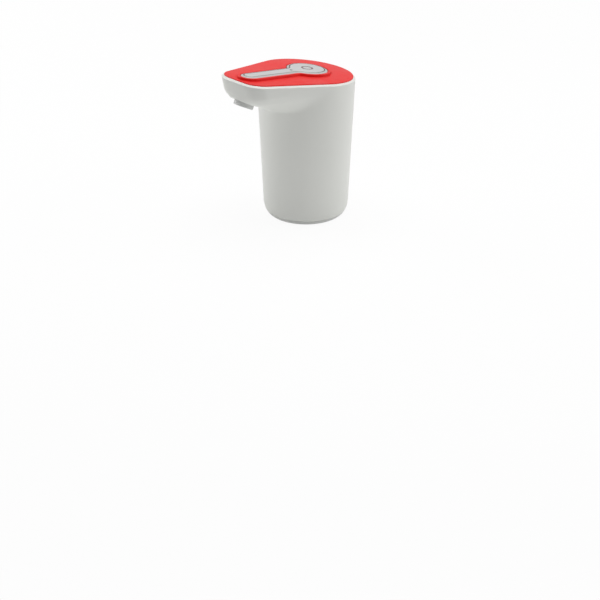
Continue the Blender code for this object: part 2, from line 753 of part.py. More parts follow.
stack_point = Vector((stack[0], stack[1], outlet_height))
outlet_root = stack_point + outlet_way * (pump_radius * outlet_root_share)
outlet_tip = stack_point + outlet_way * (pump_radius + outlet_stub)
union(pump_head, rod_between("outlet_barb", barb_radius, outlet_root, outlet_tip))
boolean(pump_head, rod_between("outlet_barb_bore", barb_bore_radius,
                               stack_point + outlet_way * (pump_radius * outlet_bore_share),
                               outlet_tip + outlet_way * overrun, steps=10))

valve_plate = turned("valve_plate", [(0, valve_high), (pump_radius, valve_high),
                                     (pump_radius, valve_low), (0, valve_low)],
                     inner_plastic, centre=stack, steps=24)
valve_hole_radius = 0.0010
for index, angle in enumerate(cup_angles, 1):
    boolean(valve_plate, cylinder(f"valve_hole_{index}", valve_hole_radius,
                                  valve_low - overrun, valve_high + overrun,
                                  centre=around(angle, cup_ring), steps=10))

diaphragm = turned("diaphragm", [(0, diaphragm_high), (pump_radius, diaphragm_high),
                                 (pump_radius, diaphragm_low), (0, diaphragm_low)],
                   silicone, centre=stack, steps=24)
for index, angle in enumerate(cup_angles, 1):
    middle = around(angle, cup_ring)
    union(diaphragm, cylinder(f"cup_{index}", cup_radius, diaphragm_low + overrun,
                              diaphragm_high + cup_height, centre=middle, steps=14))
    boolean(diaphragm, cylinder(f"cup_hollow_{index}", cup_radius - cup_wall,
                                diaphragm_low - overrun,
                                diaphragm_high + cup_height - cup_wall,
                                centre=middle, steps=12))

pump_housing = turned("pump_housing", [
    (motor_boss_radius + seat_gap, housing_high), (pump_radius, housing_high),
    (pump_radius, housing_low), (housing_inner, housing_low),
    (housing_inner, housing_high - housing_floor),
    (motor_boss_radius + seat_gap, housing_high - housing_floor)],
    black_plastic, centre=stack, steps=26, ring=True)
pump_screw_length = 0.0200
lug_radius = 0.0023
for index, angle in enumerate(pump_screw_angles, 1):
    middle = around(angle, pump_screw_ring)
    lug = cylinder(f"housing_lug_{index}", lug_radius, housing_low + seat_gap,
                   housing_high - housing_floor / 2, centre=middle, steps=12)
    union(pump_housing, lug)
    shank_hole = cylinder(f"pump_screw_hole_{index}", screw_radius + seat_gap,
                          head_low - overrun, head_low + pump_screw_length + screw_radius,
                          centre=middle, steps=10)
    for piece in (valve_plate, diaphragm, pump_housing):
        boolean(piece, shank_hole)
    boolean(pump_head, stepped_hole(f"pump_head_hole_{index}", middle, head_low, head_high))
    screw(f"pump_screw_{index}", middle, head_low + screw_sink, pump_screw_length
          - screw_head_height - seat_gap)

# Wobble mechanism: a crank on the motor shaft tilts the arm plate that works the diaphragm
swing_height = housing_low + swing_rise
crank_low = swing_height + crank_rise
crank_high = crank_low + crank_height
pin_radius = 0.0011
pin_length = 0.0058
tilt_way = Vector((math.sin(crank_tilt), 0, math.cos(crank_tilt)))
swing_point = Vector((stack[0], stack[1], swing_height))
crank = turned("crank", [(0, crank_high), (crank_radius, crank_high),
                         (crank_radius, crank_low), (0, crank_low)],
               grey_plastic, centre=stack, steps=20)
shaft_depth = 0.0018
boolean(crank, cylinder("crank_shaft_hole", motor_shaft_radius + seat_gap,
                        crank_high - shaft_depth, crank_high + overrun, centre=stack,
                        steps=14))
pin_reach = (crank_low - swing_height) / math.cos(crank_tilt)
boolean(crank, rod_between("crank_pin_hole", pin_radius + shaft_gap,
                           swing_point + tilt_way * (pin_reach - pin_radius),
                           swing_point + tilt_way * (pin_length + seat_gap), steps=14))

arm_thickness = 0.0014
arm_width = 0.0046
arm_tip_radius = 0.0029
arm_hub_radius = 0.0034
arm_root_share = 0.775       # where two arms meet, as a part of their edges' own crossing
wobble_frame = bpy.data.objects.new("wobble_centre", None)
parts.objects.link(wobble_frame)
wobble_frame.location = swing_point
wobble_frame.rotation_euler = (0, crank_tilt, 0)


def star_outline():
    # Three round-ended arms, one over each diaphragm cup.
    points = []
    half = arm_width / 2
    root = half / math.sin(math.radians(60)) * arm_root_share
    for angle in cup_angles:
        way = Vector((math.cos(angle), math.sin(angle)))
        side = Vector((-way.y, way.x))
        points.append(tuple(way * root - side * half))
        for x, y in arc_points(cup_ring, 0, arm_tip_radius, -math.pi / 2, math.pi / 2, 6):
            points.append(tuple(way * x + side * y))
        points.append(tuple(way * root + side * half))
    return points


wobble_plate = prism("wobble_plate", star_outline(), arm_thickness / 2, -arm_thickness / 2,
                     nozzle_plastic, follow_lid=False)
union(wobble_plate, cylinder("wobble_hub", arm_hub_radius, -arm_thickness / 2,
                             arm_thickness, steps=20))
union(wobble_plate, cylinder("wobble_pin", pin_radius, 0, pin_length, steps=14))
for piece in (wobble_plate, bpy.data.objects["wobble_hub"], bpy.data.objects["wobble_pin"]):
    piece.parent = wobble_frame

# Motor: can with two magnet shells, wound rotor, shaft, commutator and end cap
can_low = housing_high + seat_gap
end_cap_high = socket_low - motor_head_room
end_cap_low = end_cap_high - end_cap_height
can_high = end_cap_low - seat_gap
can_wall = 0.0009
turned("motor_can", [
    (motor_shaft_radius + shaft_gap, can_low + can_wall), (motor_radius - can_wall, can_low + can_wall),
    (motor_radius - can_wall, can_high), (motor_radius, can_high), (motor_radius, can_low),
    (motor_boss_radius, can_low), (motor_boss_radius, can_low - motor_boss_height),
    (motor_shaft_radius + shaft_gap, can_low - motor_boss_height)],
    steel, centre=stack, steps=24, ring=True)
magnet_outer = motor_radius - can_wall - seat_gap
magnet_inner = magnet_outer - magnet_thickness
magnet_low = can_low + can_wall + magnet_foot_space
magnet_high = can_high - brush_space
magnet_span = math.radians(118)
for name, middle in (("magnet_left", math.pi), ("magnet_right", 0)):
    arc = arc_points(stack[0], stack[1], magnet_outer, middle - magnet_span / 2,
                     middle + magnet_span / 2, 9)
    back = arc_points(stack[0], stack[1], magnet_inner, middle + magnet_span / 2,
                      middle - magnet_span / 2, 9)
    prism(name, arc + back, magnet_high, magnet_low, ferrite, follow_lid=False)
rotor_radius = magnet_inner - rotor_gap
rotor_low = magnet_low + rotor_foot_inset
rotor_high = magnet_high - rotor_head_inset
shaft_low = crank_high - shaft_depth + seat_gap
shaft_high = end_cap_low + end_cap_height * shaft_end_share
cylinder("motor_shaft", motor_shaft_radius, shaft_low, shaft_high, steel,
         centre=stack, steps=14)
bore_gap = motor_shaft_radius + seat_gap


def rotor_outline():
    # Three wound poles with slots between them.
    points = []
    slot_half = math.radians(9)
    spread = slot_half * rotor_spread_share
    for index in range(3):
        middle = math.radians(90 + 120 * index)
        points += arc_points(stack[0], stack[1], rotor_radius,
                             middle - math.radians(60) + slot_half,
                             middle + math.radians(60) - slot_half, 7)
        slot = middle + math.radians(60)
        points.append(around(slot - spread, rotor_radius * rotor_slot_share))
        points.append(around(slot + spread, rotor_radius * rotor_slot_share))
    return points


rotor = prism("rotor", rotor_outline(), rotor_high, rotor_low, copper, follow_lid=False)
boolean(rotor, cylinder("rotor_hole", bore_gap, rotor_low - overrun, rotor_high + overrun,
                        centre=stack, steps=14))
commutator_low = rotor_high + seat_gap
commutator_high = can_high - commutator_head_gap
turned("commutator", [
    (bore_gap, commutator_high), (commutator_radius, commutator_high),
    (commutator_radius, commutator_low), (bore_gap, commutator_low)],
    brass, centre=stack, steps=20, ring=True)
end_cap = turned("motor_end_cap", [
    (0, end_cap_high), (motor_radius * end_cap_top_share, end_cap_high),
    (motor_radius, end_cap_low + end_cap_height * end_cap_edge_share), (motor_radius, end_cap_low),
    (0, end_cap_low)], black_plastic, centre=stack, steps=24)
boolean(end_cap, cylinder("end_cap_hole", motor_shaft_radius + shaft_gap,
                          end_cap_low - overrun, shaft_high + seat_gap, centre=stack,
                          steps=14))

# Cell, upright in its sleeve, with its raised positive cap
cell_high = cell_seat + cell_length
turned("cell", [
    (0, cell_high), (cap_radius, cell_high), (cap_radius, cell_high - cap_height),
    (cell_radius * cell_shoulder_share, cell_high - cap_height), (cell_radius, cell_high - cap_height * 2),
    (cell_radius, cell_seat + cap_height), (cell_radius * cell_foot_share, cell_seat), (0, cell_seat)],
    cell_wrap, centre=(0, -cell_offset), steps=20)

# Control board under the lid, with its switch, lamp and charging socket
board_top = -board_depth
corner_y = board_back - half_board * board_corner_share
back_x = half_board * board_back_share
board = prism("control_board", [(half_board, corner_y), (back_x, board_back),
                                (-back_x, board_back), (-half_board, corner_y),
                                (-half_board, board_front), (half_board, board_front)],
              board_top, board_low, board_green)
for index, (x, y) in enumerate(post_places, 1):
    boolean(board, cylinder(f"board_hole_{index}", screw_radius + seat_gap,
                            lid_plane(y) + board_low - overrun * 2,
                            lid_plane(y) + board_top + overrun * 2, centre=(x, y), steps=12))
    head_face = (lid_plane(y) + board_low - lid_rise_share * screw_head_radius - seat_gap
                 - screw_head_height)
    screw(f"board_screw_{index}", (x, y), head_face, board_thickness + post_hole_depth
          - seat_gap * 2)


def square(half, y):
    return [(half, y + half), (-half, y + half), (-half, y - half), (half, y - half)]


switch_low = board_top + seat_gap
switch_high = switch_low + switch_height
tact_switch = prism("tact_switch", square(switch_width / 2, key_y), switch_high, switch_low,
                    black_plastic)
plunger_low = lid_plane(key_y) + switch_high - plunger_hold
plunger_high = lid_plane(key_y) - key_flange_low - stem_length - seat_gap
plunger_well = plunger_low - plunger_travel - seat_gap
boolean(tact_switch, cylinder("plunger_hole", plunger_radius + seat_gap, plunger_well,
                              plunger_high + overrun, centre=(0, key_y)))
cylinder("switch_plunger", plunger_radius, plunger_low, plunger_high,
         nozzle_plastic, centre=(0, key_y))

prism("charge_lamp", square(lamp_width / 2, lens_y), board_top + seat_gap
      + lamp_height, board_top + seat_gap, clear_lens)

socket_middle = socket_high - socket_height / 2


def flat_oval(width, height, y_front, y_back, name, finish=None):
    # Socket shape: a flat oval drawn along Y.
    work = bmesh.new()
    radius = height / 2
    right = arc_points(width / 2 - radius, 0, radius, -math.pi / 2, math.pi / 2, 5)
    left = [(-x, -z) for x, z in right]
    ring = [work.verts.new((x, y_front, socket_middle + z)) for x, z in right + left]
    face = work.faces.new(ring)
    made = bmesh.ops.extrude_face_region(work, geom=[face])
    moved = [item for item in made["geom"] if isinstance(item, bmesh.types.BMVert)]
    bmesh.ops.translate(work, verts=moved, vec=(0, y_back - y_front, 0))
    return place(name, finish_mesh(name, work), finish)


charge_socket = flat_oval(socket_width, socket_height, socket_back - socket_length,
                          socket_back, "charge_socket", steel)
boolean(charge_socket, flat_oval(socket_width - socket_wall * 2, socket_height - socket_wall * 2,
                                 socket_back - socket_length + socket_wall,
                                 socket_back + overrun, "socket_mouth"))
boolean(body_shell, flat_oval(socket_width + port_gap * 2, socket_height + port_gap * 2,
                              socket_back - overrun, body_top_radius + overrun, "port_cutter"))
box("socket_tongue", (tongue_width, socket_length - socket_wall * 2 - seat_gap * 4,
                      tongue_height),
                    (0, socket_back - socket_length / 2 - seat_gap, socket_middle),
                    black_plastic)

# Silicone hose from the pump head up past the cell to the nozzle
hose_start = stack_point + outlet_way * (pump_radius + seat_gap * 2)
hose_end = Vector((0, -nozzle_reach + nozzle_radius / math.cos(spout_under_slope)
                   + barb_rise * math.tan(spout_under_slope) + hose_end_gap, barb_height))
hose_lead_shares = (0.67, 1.26)  # first stops off the outlet, as parts of the bore's radius
# The hose's run: share of its side place, then of the way to the nozzle's barb, then of the
# climb from the pump's outlet
hose_run_shares = [(0.93, -0.036, 0.034), (1.0, -0.008, 0.146), (1.0, 0, 0.355),
                   (0.98, 0.041, 0.571), (0.885, 0.213, 0.733), (0.667, 0.459, 0.856),
                   (0.323, 0.688, 0.954), (0.042, 0.891, 0.998), (0, 0.99, 1)]


def hose_route(finish_gap=0):
    stops = [hose_start - outlet_way * finish_gap]
    stops += [hose_start + outlet_way * hose_bore_radius * share for share in hose_lead_shares]
    for side_share, way_share, climb_share in hose_run_shares:
        reach = hose_climb_reach + (nozzle_barb_reach - hose_climb_reach) * way_share
        height = outlet_height + (barb_height - outlet_height) * climb_share
        stops.append(Vector((hose_side * side_share, -reach, height)))
    stops.append(hose_end - Vector((0, finish_gap, 0)))
    route = []
    for index in range(len(stops) - 1):
        before = stops[max(index - 1, 0)]
        here, after = stops[index], stops[index + 1]
        beyond = stops[min(index + 2, len(stops) - 1)]
        for step in range(2):
            t = step / 2
            route.append(here * 1.0 + (after - before) * 0.5 * t
                         + (before * 2 - here * 5 + after * 4 - beyond) * 0.5 * t * t
                         + (here * 3 - before - after * 3 + beyond) * 0.5 * t ** 3)
    return route + [stops[-1]]


def tube(name, points, radius, finish=None):
    curve = bpy.data.curves.new(name + "_line", "CURVE")
    curve.dimensions = "3D"
    curve.bevel_depth = radius
    curve.bevel_resolution = 2
    curve.use_fill_caps = True
    line = curve.splines.new("POLY")
    line.points.add(len(points) - 1)
    for spot, point in zip(line.points, points):
        spot.co = (*point, 1)
    source = bpy.data.objects.new(name + "_line", curve)
    parts.objects.link(source)
    graph = bpy.context.evaluated_depsgraph_get()
    mesh = bpy.data.meshes.new_from_object(source.evaluated_get(graph))
    bpy.data.objects.remove(source, do_unlink=True)
    work = bmesh.new()
    work.from_mesh(mesh)
    bmesh.ops.remove_doubles(work, verts=work.verts, dist=0.000001)
    return place(name, finish_mesh(name, work, math.radians(60)), finish)


outlet_hose = tube("outlet_hose", hose_route(), hose_radius, silicone)
boolean(outlet_hose, tube("hose_bore", hose_route(overrun), hose_bore_radius))
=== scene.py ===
import math

import bmesh
import bpy
from mathutils import Matrix, Vector


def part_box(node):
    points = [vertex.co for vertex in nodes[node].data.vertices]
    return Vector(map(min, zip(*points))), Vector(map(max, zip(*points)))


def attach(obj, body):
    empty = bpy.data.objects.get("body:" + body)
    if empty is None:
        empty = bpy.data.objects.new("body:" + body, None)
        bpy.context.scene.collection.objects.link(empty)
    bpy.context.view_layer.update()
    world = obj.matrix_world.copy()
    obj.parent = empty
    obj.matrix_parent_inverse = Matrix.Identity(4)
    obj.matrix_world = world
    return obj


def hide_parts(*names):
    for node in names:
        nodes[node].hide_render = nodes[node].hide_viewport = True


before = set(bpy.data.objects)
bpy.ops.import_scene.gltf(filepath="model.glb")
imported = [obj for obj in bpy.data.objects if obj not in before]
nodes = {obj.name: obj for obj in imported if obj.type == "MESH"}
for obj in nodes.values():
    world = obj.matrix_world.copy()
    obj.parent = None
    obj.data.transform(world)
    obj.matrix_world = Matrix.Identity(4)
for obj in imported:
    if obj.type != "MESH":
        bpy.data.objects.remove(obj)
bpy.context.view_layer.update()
mm = 0.001
print("frame loaded with", len(nodes), "pieces")

# Camera at the photographed angle, matched for a 600 by 600 picture; the render size isn't set
# here

cameraLook = {
    "place": (0.7407, -0.7210, 0.4505),
    "turn": (math.radians(62), 0, math.radians(46)),
    "lens": 96,
    "sensor": 36,
}
cameraData = bpy.data.cameras.new("studioCamera")
cameraData.lens = cameraLook["lens"]
cameraData.sensor_width = cameraLook["sensor"]
camera = bpy.data.objects.new("studioCamera", cameraData)
camera.location = cameraLook["place"]
camera.rotation_euler = cameraLook["turn"]
bpy.context.scene.collection.objects.link(camera)
bpy.context.scene.camera = camera
print("camera set")


# Mesh helpers

meshLook = {
    "sharpAngle": math.radians(38),  # a sharper edge isn't smoothed
    "mergeGap": 0.002 * mm,
    "roundReach": 0.48,              # most of a side that one rounded corner may take
    "roundSteps": 4,
}


def newPiece(name, bm, material):
    # Makes an object at the origin from a finished bmesh.
    mesh = bpy.data.meshes.new(name)
    bm.to_mesh(mesh)
    bm.free()
    mesh.materials.append(material)
    mesh.shade_smooth()
    mesh.set_sharp_from_angle(angle=meshLook["sharpAngle"])
    piece = bpy.data.objects.new(name, mesh)
    bpy.context.scene.collection.objects.link(piece)
    return piece


def arc(centreX, centreY, radius, start, end, steps):
    angles = [math.radians(start + (end - start) * i / steps) for i in range(steps + 1)]
    return [(centreX + radius * math.cos(a), centreY + radius * math.sin(a)) for a in angles]


def smoothStep(value):
    # 0 to 1 with a level start and a level end.
    return value * value * (3 - 2 * value)


def startRing(bm, places):
    # The first ring of a wall.
    made = bmesh.ops.create_circle(bm, segments=len(places), radius=1)
    loop = list(made["verts"])
    for vert, place in zip(loop, places):
        vert.co = place
    return loop


def ringEdges(bm, loop):
    return [bm.edges.get((loop[i - 1], loop[i])) for i in range(len(loop))]


def extrudeRing(bm, loop, places):
    # The next ring of a wall: the last one extruded, then moved to its places.
    made = bmesh.ops.extrude_edge_only(bm, edges=ringEdges(bm, loop))
    fresh = {item for item in made["geom"] if isinstance(item, bmesh.types.BMVert)}
    following = []
    for vert in loop:
        following.append(next(edge.other_vert(vert) for edge in vert.link_edges
                              if edge.other_vert(vert) in fresh))
    for vert, place in zip(following, places):
        vert.co = place
    return following


def cutWith(piece, cutters):
    # Takes closed meshes away from a piece.
    for bm in cutters:
        mesh = bpy.data.meshes.new("cutter")
        bm.to_mesh(mesh)
        bm.free()
        cutter = bpy.data.objects.new("cutter", mesh)
        bpy.context.scene.collection.objects.link(cutter)
        step = piece.modifiers.new("cut", "BOOLEAN")
        step.operation = "DIFFERENCE"
        step.solver = "EXACT"
        step.use_self = True
        step.object = cutter
        graph = bpy.context.evaluated_depsgraph_get()
        piece.data = bpy.data.meshes.new_from_object(piece.evaluated_get(graph))
        piece.modifiers.clear()
        bpy.data.objects.remove(cutter)
    piece.data.set_sharp_from_angle(angle=meshLook["sharpAngle"])


def turnedMesh(profile, steps=96, closed=False, place=None):
    # A profile of (radius, height) pairs spun once round the upright axis.
    bm = bmesh.new()
    verts = [bm.verts.new((radius, 0, height)) for radius, height in profile]
    edges = [bm.edges.new(pair) for pair in zip(verts, verts[1:])]
    if closed:
        edges.append(bm.edges.new((verts[-1], verts[0])))
    bmesh.ops.spin(bm, geom=verts + edges, cent=(0, 0, 0), axis=(0, 0, 1),
                   angle=math.tau, steps=steps, use_merge=True)
    bmesh.ops.remove_doubles(bm, verts=bm.verts, dist=meshLook["mergeGap"])
    bmesh.ops.recalc_face_normals(bm, faces=bm.faces)
    if place:
        bmesh.ops.transform(bm, matrix=place, verts=bm.verts)
    return bm


def roundedProfile(points, radius, closed=False):
    # The same outline with its listed corners rounded. A corner is (x, y, share of the radius).
    made = []
    count, steps = len(points), meshLook["roundSteps"]
    for i, (x, y, share) in enumerate(points):
        if share == 0 or (not closed and i in (0, count - 1)):
            made.append((x, y))
            continue
        here = Vector((x, y))
        before = Vector(points[i - 1][:2]) - here
        after = Vector(points[(i + 1) % count][:2]) - here
        most = min(before.length, after.length) * meshLook["roundReach"]
        reach = min(radius * share, most)
        start = here + before.normalized() * reach
        end = here + after.normalized() * reach
        for k in range(steps + 1):
            t = k / steps
            made.append(tuple(start * (1 - t) ** 2 + here * 2 * t * (1 - t) + end * t * t))
    return made


# Shader helper: a socket with arithmetic, so that a pattern reads as a sum


class Wire:
    def __init__(self, tree, socket=None):
        self.tree = tree
        self.socket = socket

    def node(self, kind, settings, inputs, output=0):
        # A node of that kind: its settings first, then the values or links of its sockets.
        made = self.tree.nodes.new("ShaderNode" + kind)
        for key, value in settings.items():
            setattr(made, key, value)
        for key, value in inputs.items():
            if isinstance(value, Wire):
                self.tree.links.new(value.socket, made.inputs[key])
            else:
                made.inputs[key].default_value = value
        return Wire(self.tree, made.outputs[output])

    def math(self, operation, first, second=0.0, clamp=False):
        return self.node("Math", {"operation": operation, "use_clamp": clamp},
                         {0: first, 1: second})

    def __add__(self, other):
        return self.math("ADD", self, other)

    __radd__ = __add__

    def __sub__(self, other):
        return self.math("SUBTRACT", self, other)

    def __rsub__(self, other):
        return self.math("SUBTRACT", other, self)

    def __mul__(self, other):
        return self.math("MULTIPLY", self, other)

    __rmul__ = __mul__

    def __truediv__(self, other):
        return self.math("DIVIDE", self, other)

    def clamped(self):
        return self.math("ADD", self, 0.0, clamp=True)

    def above(self, edge, blur):
        # 0 below the edge, 1 above it, with a soft step between.
        return ((self - (edge - blur)) / (2 * blur)).clamped()

    def position(self):
        # The place on the piece, in its own frame.
        return self.node("TexCoord", {}, {}, "Object")

    def placed(self, turn=(0, 0, 0), scale=(1, 1, 1)):
        return self.node("Mapping", {}, {"Vector": self, "Rotation": turn, "Scale": scale})

    def noise(self, scale, detail=3.0, roughness=0.55):
        return self.node("TexNoise", {}, {"Vector": self, "Scale": scale, "Detail": detail,
                                          "Roughness": roughness}, "Fac")

    def cells(self, scale):
        return self.node("TexVoronoi", {}, {"Vector": self, "Scale": scale}, "Distance")

    def mixed(self, first, second):
        # This value is the factor: 0 gives the first colour, 1 the second.
        return self.node("Mix", {"data_type": "RGBA"}, {0: self, 6: first, 7: second}, 2)


def tint(colour, factor):
    # The colour made lighter or darker, ready for a socket.
    return (*(min(part * factor, 1) for part in colour), 1)


def surface(name, build, **constants):
    # A material whose build function gives the varying sockets of its shader.
    made = bpy.data.materials.new(name)
    made.use_nodes = True
    shader = made.node_tree.nodes["Principled BSDF"]
    for key, value in constants.items():
        shader.inputs[key.replace("_", " ")].default_value = value
    for key, value in build(Wire(made.node_tree)).items():
        made.node_tree.links.new(value.socket, shader.inputs[key])
    return made


def bumped(start, height, strength, distance):
    return start.node("Bump", {}, {"Strength": strength, "Distance": distance,
                                   "Height": height}, "Normal")


def varied(base, *changes):
    # A value that shifts round a base: each change is a pattern of 0 to 1 and its whole swing.
    for pattern, swing in changes:
        base = base + (pattern - 0.5) * swing
    return base


wearLook = {
    "edge": (0.56, 0.05),          # bend at which an edge is rubbed, and its blur
    "patches": 420,
    "patchEdge": (0.45, 0.2),
}


def edgeWear(start):
    # 1 on worn outer edges, broken up by a fine noise.
    bend = start.node("NewGeometry", {}, {}, "Pointiness")
    patches = start.position().noise(wearLook["patches"])
    return bend.above(*wearLook["edge"]) * patches.above(*wearLook["patchEdge"])


mouldLook = {
    "drift": 38,                   # scale of the slow tone drift
    "speckScale": 0.6,             # against the grain's scale
    "fineDepth": 0.6,              # parts of the bump
    "speckDepth": 0.4,
    "wornLevel": 0.6,              # a worn edge is greyer and lighter
    "wornLift": 0.35,
    "dust": (90, 5, 0.7),
    "dustEdge": (0.62, 0.12),
    "dustColour": (0.55, 0.53, 0.49, 1),
    "driftSwing": 0.14,            # changes of the roughness
    "fineSwing": 0.10,
    "wornShine": 0.08,
}


def moulded(name, colour, roughness, grain=2600, depth=0.02 * mm, strength=0.25, mottle=0.05,
            wear=0.25, dust=0.0, **constants):
    # Moulded plastic: spark-grain bump, slow tone drift, polished patches, rubbed edges.
    def build(start):
        look = mouldLook
        place = start.position()
        drift = place.noise(look["drift"], 2)
        fine = place.noise(grain, 2)
        specks = place.cells(grain * look["speckScale"])
        worn = edgeWear(start)
        tone = drift.mixed(tint(colour, 1 - mottle), tint(colour, 1 + mottle))
        rubbed = [part * look["wornLevel"] + look["wornLift"] for part in colour]
        base = (worn * wear).mixed(tone, tint(rubbed, 1))
        if dust:
            low = place.noise(*look["dust"]).above(*look["dustEdge"])
            base = (low * dust).mixed(base, look["dustColour"])
        rough = varied(roughness, (drift, look["driftSwing"]), (fine, look["fineSwing"]))
        rough = rough - worn * look["wornShine"]
        height = fine * look["fineDepth"] + specks * look["speckDepth"]
        return {"Base Color": base, "Roughness": rough.clamped(),
                "Normal": bumped(start, height, strength, depth)}
    return surface(name, build, **constants)


# The body's form, worked out as the solids are

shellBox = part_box("body_shell")
form = {
    "height": 76.8 * mm,          # rim plane over the mouth's seat, on the axis
    "topRadius": 33.85 * mm,
    "lowRadius": 29.86 * mm,
    "straightTop": -16.4 * mm,
    "socketTop": 2.9 * mm,        # the base plate's round socket ends here
    "skirtLow": -22.6 * mm,
    "footLow": -26.5 * mm,
    "footRoundDepth": 6.0 * mm,
    "wall": 1.8 * mm,
    "reach": -shellBox[0].y,
    "frontLean": 10.5,
    "sideLean": 20,
    "cornerRadius": 13.6 * mm,
    "cornerOffset": 8.2 * mm,
    "chinRadius": 9.5 * mm,
    "underSlope": 27,
    "chinDrop": 7.2 * mm,
    "rootRadius": 6 * mm,
    "lidRise": 0.154,
    "nozzleReach": 56.8 * mm,
    "points": 180,
    "finePoints": 1080,
    "chinSteps": 14,
    "slantSteps": 8,
    "rootSteps": 12,
}


def lidPlane(y, height=0.0):
    # Height of the sloping lid plane at y, or of a plane parallel to it.
    return form["height"] - form["lidRise"] * y + height


def hullRing(circles):
    # Evenly spaced points on the convex outline round several circles.
    count, fine = form["points"], form["finePoints"]
    run = []
    for i in range(fine):
        angle = math.pi / 2 + math.tau * i / fine
        x, y = math.cos(angle), math.sin(angle)
        best = max(circles, key=lambda c: x * c[0] + y * c[1] + c[2])
        run.append(Vector((best[0] + x * best[2], best[1] + y * best[2])))
    run.append(run[0])
    lengths = [0]
    for here, after in zip(run, run[1:]):
        lengths.append(lengths[-1] + (after - here).length)
    made = []
    span = 0
    for i in range(count):
        target = lengths[-1] * i / count
        while lengths[span + 1] <= target:
            span += 1
        share = (target - lengths[span]) / (lengths[span + 1] - lengths[span])
        made.append(run[span].lerp(run[span + 1], share))
    return made


def bodyRadius(height):
    # A straight taper, then the quarter oval of the foot.
    if height >= form["straightTop"]:
        taper = ((form["topRadius"] - form["lowRadius"])
                 / (form["height"] - form["straightTop"]))
        return form["lowRadius"] + taper * (height - form["straightTop"])
    share = min((form["straightTop"] - height) / (form["straightTop"] - form["footLow"]), 1)
    return form["lowRadius"] - form["footRoundDepth"] * (1 - math.sqrt(1 - share * share))


def sectionRing(height, reach, inset):
    # The body's level outline at a height, with the spout's reach there.
    radius = bodyRadius(height)
    spread = max(reach + inset - radius, 0) / (form["reach"] - radius)
    side = form["cornerOffset"] * min(spread, 1)
    depth = max(form["height"] - height, 0)
    corner = form["cornerRadius"] - inset - depth * math.tan(math.radians(form["sideLean"]))
    back = corner - reach
    circles = [(0, 0, radius - inset), (side, back, corner), (-side, back, corner)]
    return [(x, y, height) for x, y in hullRing(circles)]


def spoutSections(inset):
    # (height, reach) from the tip down: leaning front, chin curve, sloping underside, root.
    slope, lean = math.radians(form["underSlope"]), math.radians(form["frontLean"])
    chin, root = form["chinRadius"] - inset, form["rootRadius"] + inset
    front = (form["reach"] * math.cos(lean) - lidPlane(-form["reach"]) * math.sin(lean)
             - form["chinRadius"])
    under = (form["nozzleReach"] * math.sin(slope)
             - (form["height"] - form["chinDrop"]) * math.cos(slope) - form["chinRadius"])
    turn = math.cos(lean + slope)
    chinHeight = (front * math.sin(slope) - under * math.cos(lean)) / turn
    chinReach = (front * math.cos(slope) - under * math.sin(lean)) / turn
    wallReach = bodyRadius(form["height"] - form["reach"] * math.tan(slope)) - inset
    rootReach = wallReach + root
    rootHeight = (rootReach * math.sin(slope) - (under + chin) - root) / math.cos(slope)
    chinRun = arc(chinReach, chinHeight, chin, -form["frontLean"], form["underSlope"] - 90,
                  form["chinSteps"])
    rootRun = arc(rootReach, rootHeight, root, 90 + form["underSlope"], 180,
                  form["rootSteps"])
    start, end = Vector(chinRun[-1]), Vector(rootRun[0])
    steps = form["slantSteps"]
    slant = [tuple(start.lerp(end, i / steps)) for i in range(1, steps)]
    return [(height, reach) for reach, height in chinRun + slant + rootRun]


# Body shell: one fine skin with its wall, bright rim, lid seat, nozzle hole and port

shellLook = {
    "rimWidth": 1.5 * mm,
    "rimDrop": 0.90 * mm,          # the bright edge slopes down outwards
    "rimRound": 0.45 * mm,
    "seatRound": 0.15 * mm,
    "seatRoundSteps": 3,
    "seatDepth": 2.7 * mm,
    "seatDraft": 0.03 * mm,        # the seat's wall leans in this much
    "headRoom": 3 * mm,            # the skins start this far above the tip, to be cut
    "cutReach": 8 * mm,            # only what lies above this depth is cut to the rim
    "cutGap": 0.01 * mm,
    "planeGap": 0.2 * mm,          # an edge this near to the rim's plane belongs to it
    "mergeGap": 0.06 * mm,
    "wallSteps": 8,
    "skirtRim": 0.25 * mm,
    "skirtSteps": 4,
    "chinFlat": 8.0 * mm,          # the fuller chin: its whole and its last radius, its depth
    "chinFade": 13.0 * mm,
    "chinDepth": 6.0 * mm,
    "portGap": 0.4 * mm,
    "portSteps": 12,
}


def cutPlane(bm, faces, height):
    # Removes what stands above the sloping lid plane, or a plane parallel to it.
    edges = {edge for face in faces for edge in face.edges}
    verts = {vert for face in faces for vert in face.verts}
    bmesh.ops.bisect_plane(bm, geom=list(faces) + list(edges) + list(verts),
                           dist=shellLook["cutGap"],
                           plane_co=(0, 0, lidPlane(0, height)),
                           plane_no=(0, form["lidRise"], 1), clear_outer=True)


def fullChin(point):
    # Draws the skin round the nozzle towards the nozzle's own plane.
    place = nozzlePlace()
    local = place.inverted() @ Vector(point)
    if local.z <= 0:
        return point
    span = shellLook["chinFade"] - shellLook["chinFlat"]
    out = min(max((local.xy.length - shellLook["chinFlat"]) / span, 0), 1)
    up = min(local.z / shellLook["chinDepth"], 1)
    local.z *= 1 - (1 - smoothStep(out)) * (1 - smoothStep(up))
    return tuple(place @ local)


def stepFace(bm, face, inwards, upwards):
    # Moves a face in and up; its old edge stays joined to it by a band.
    bmesh.ops.inset_region(bm, faces=[face], thickness=inwards, depth=upwards,
                           use_even_offset=True)


def roundTop(bm, face, radius, end=90, steps=4):
    # A rounded edge on a face, made by stepping it in and up. Gives the way in and up.
    before = (0, 0)
    for i in range(1, steps + 1):
        angle = math.radians(end * i / steps)
        here = (radius * (1 - math.cos(angle)), radius * math.sin(angle))
        stepFace(bm, face, here[0] - before[0], here[1] - before[1])
        before = here
    return before


def capFace(bm, edges):
    # One upward face inside a closed run of edges.
    face = bmesh.ops.contextual_create(bm, geom=edges)["faces"][0]
    if face.normal.z < 0:
        face.normal_flip()
    return face


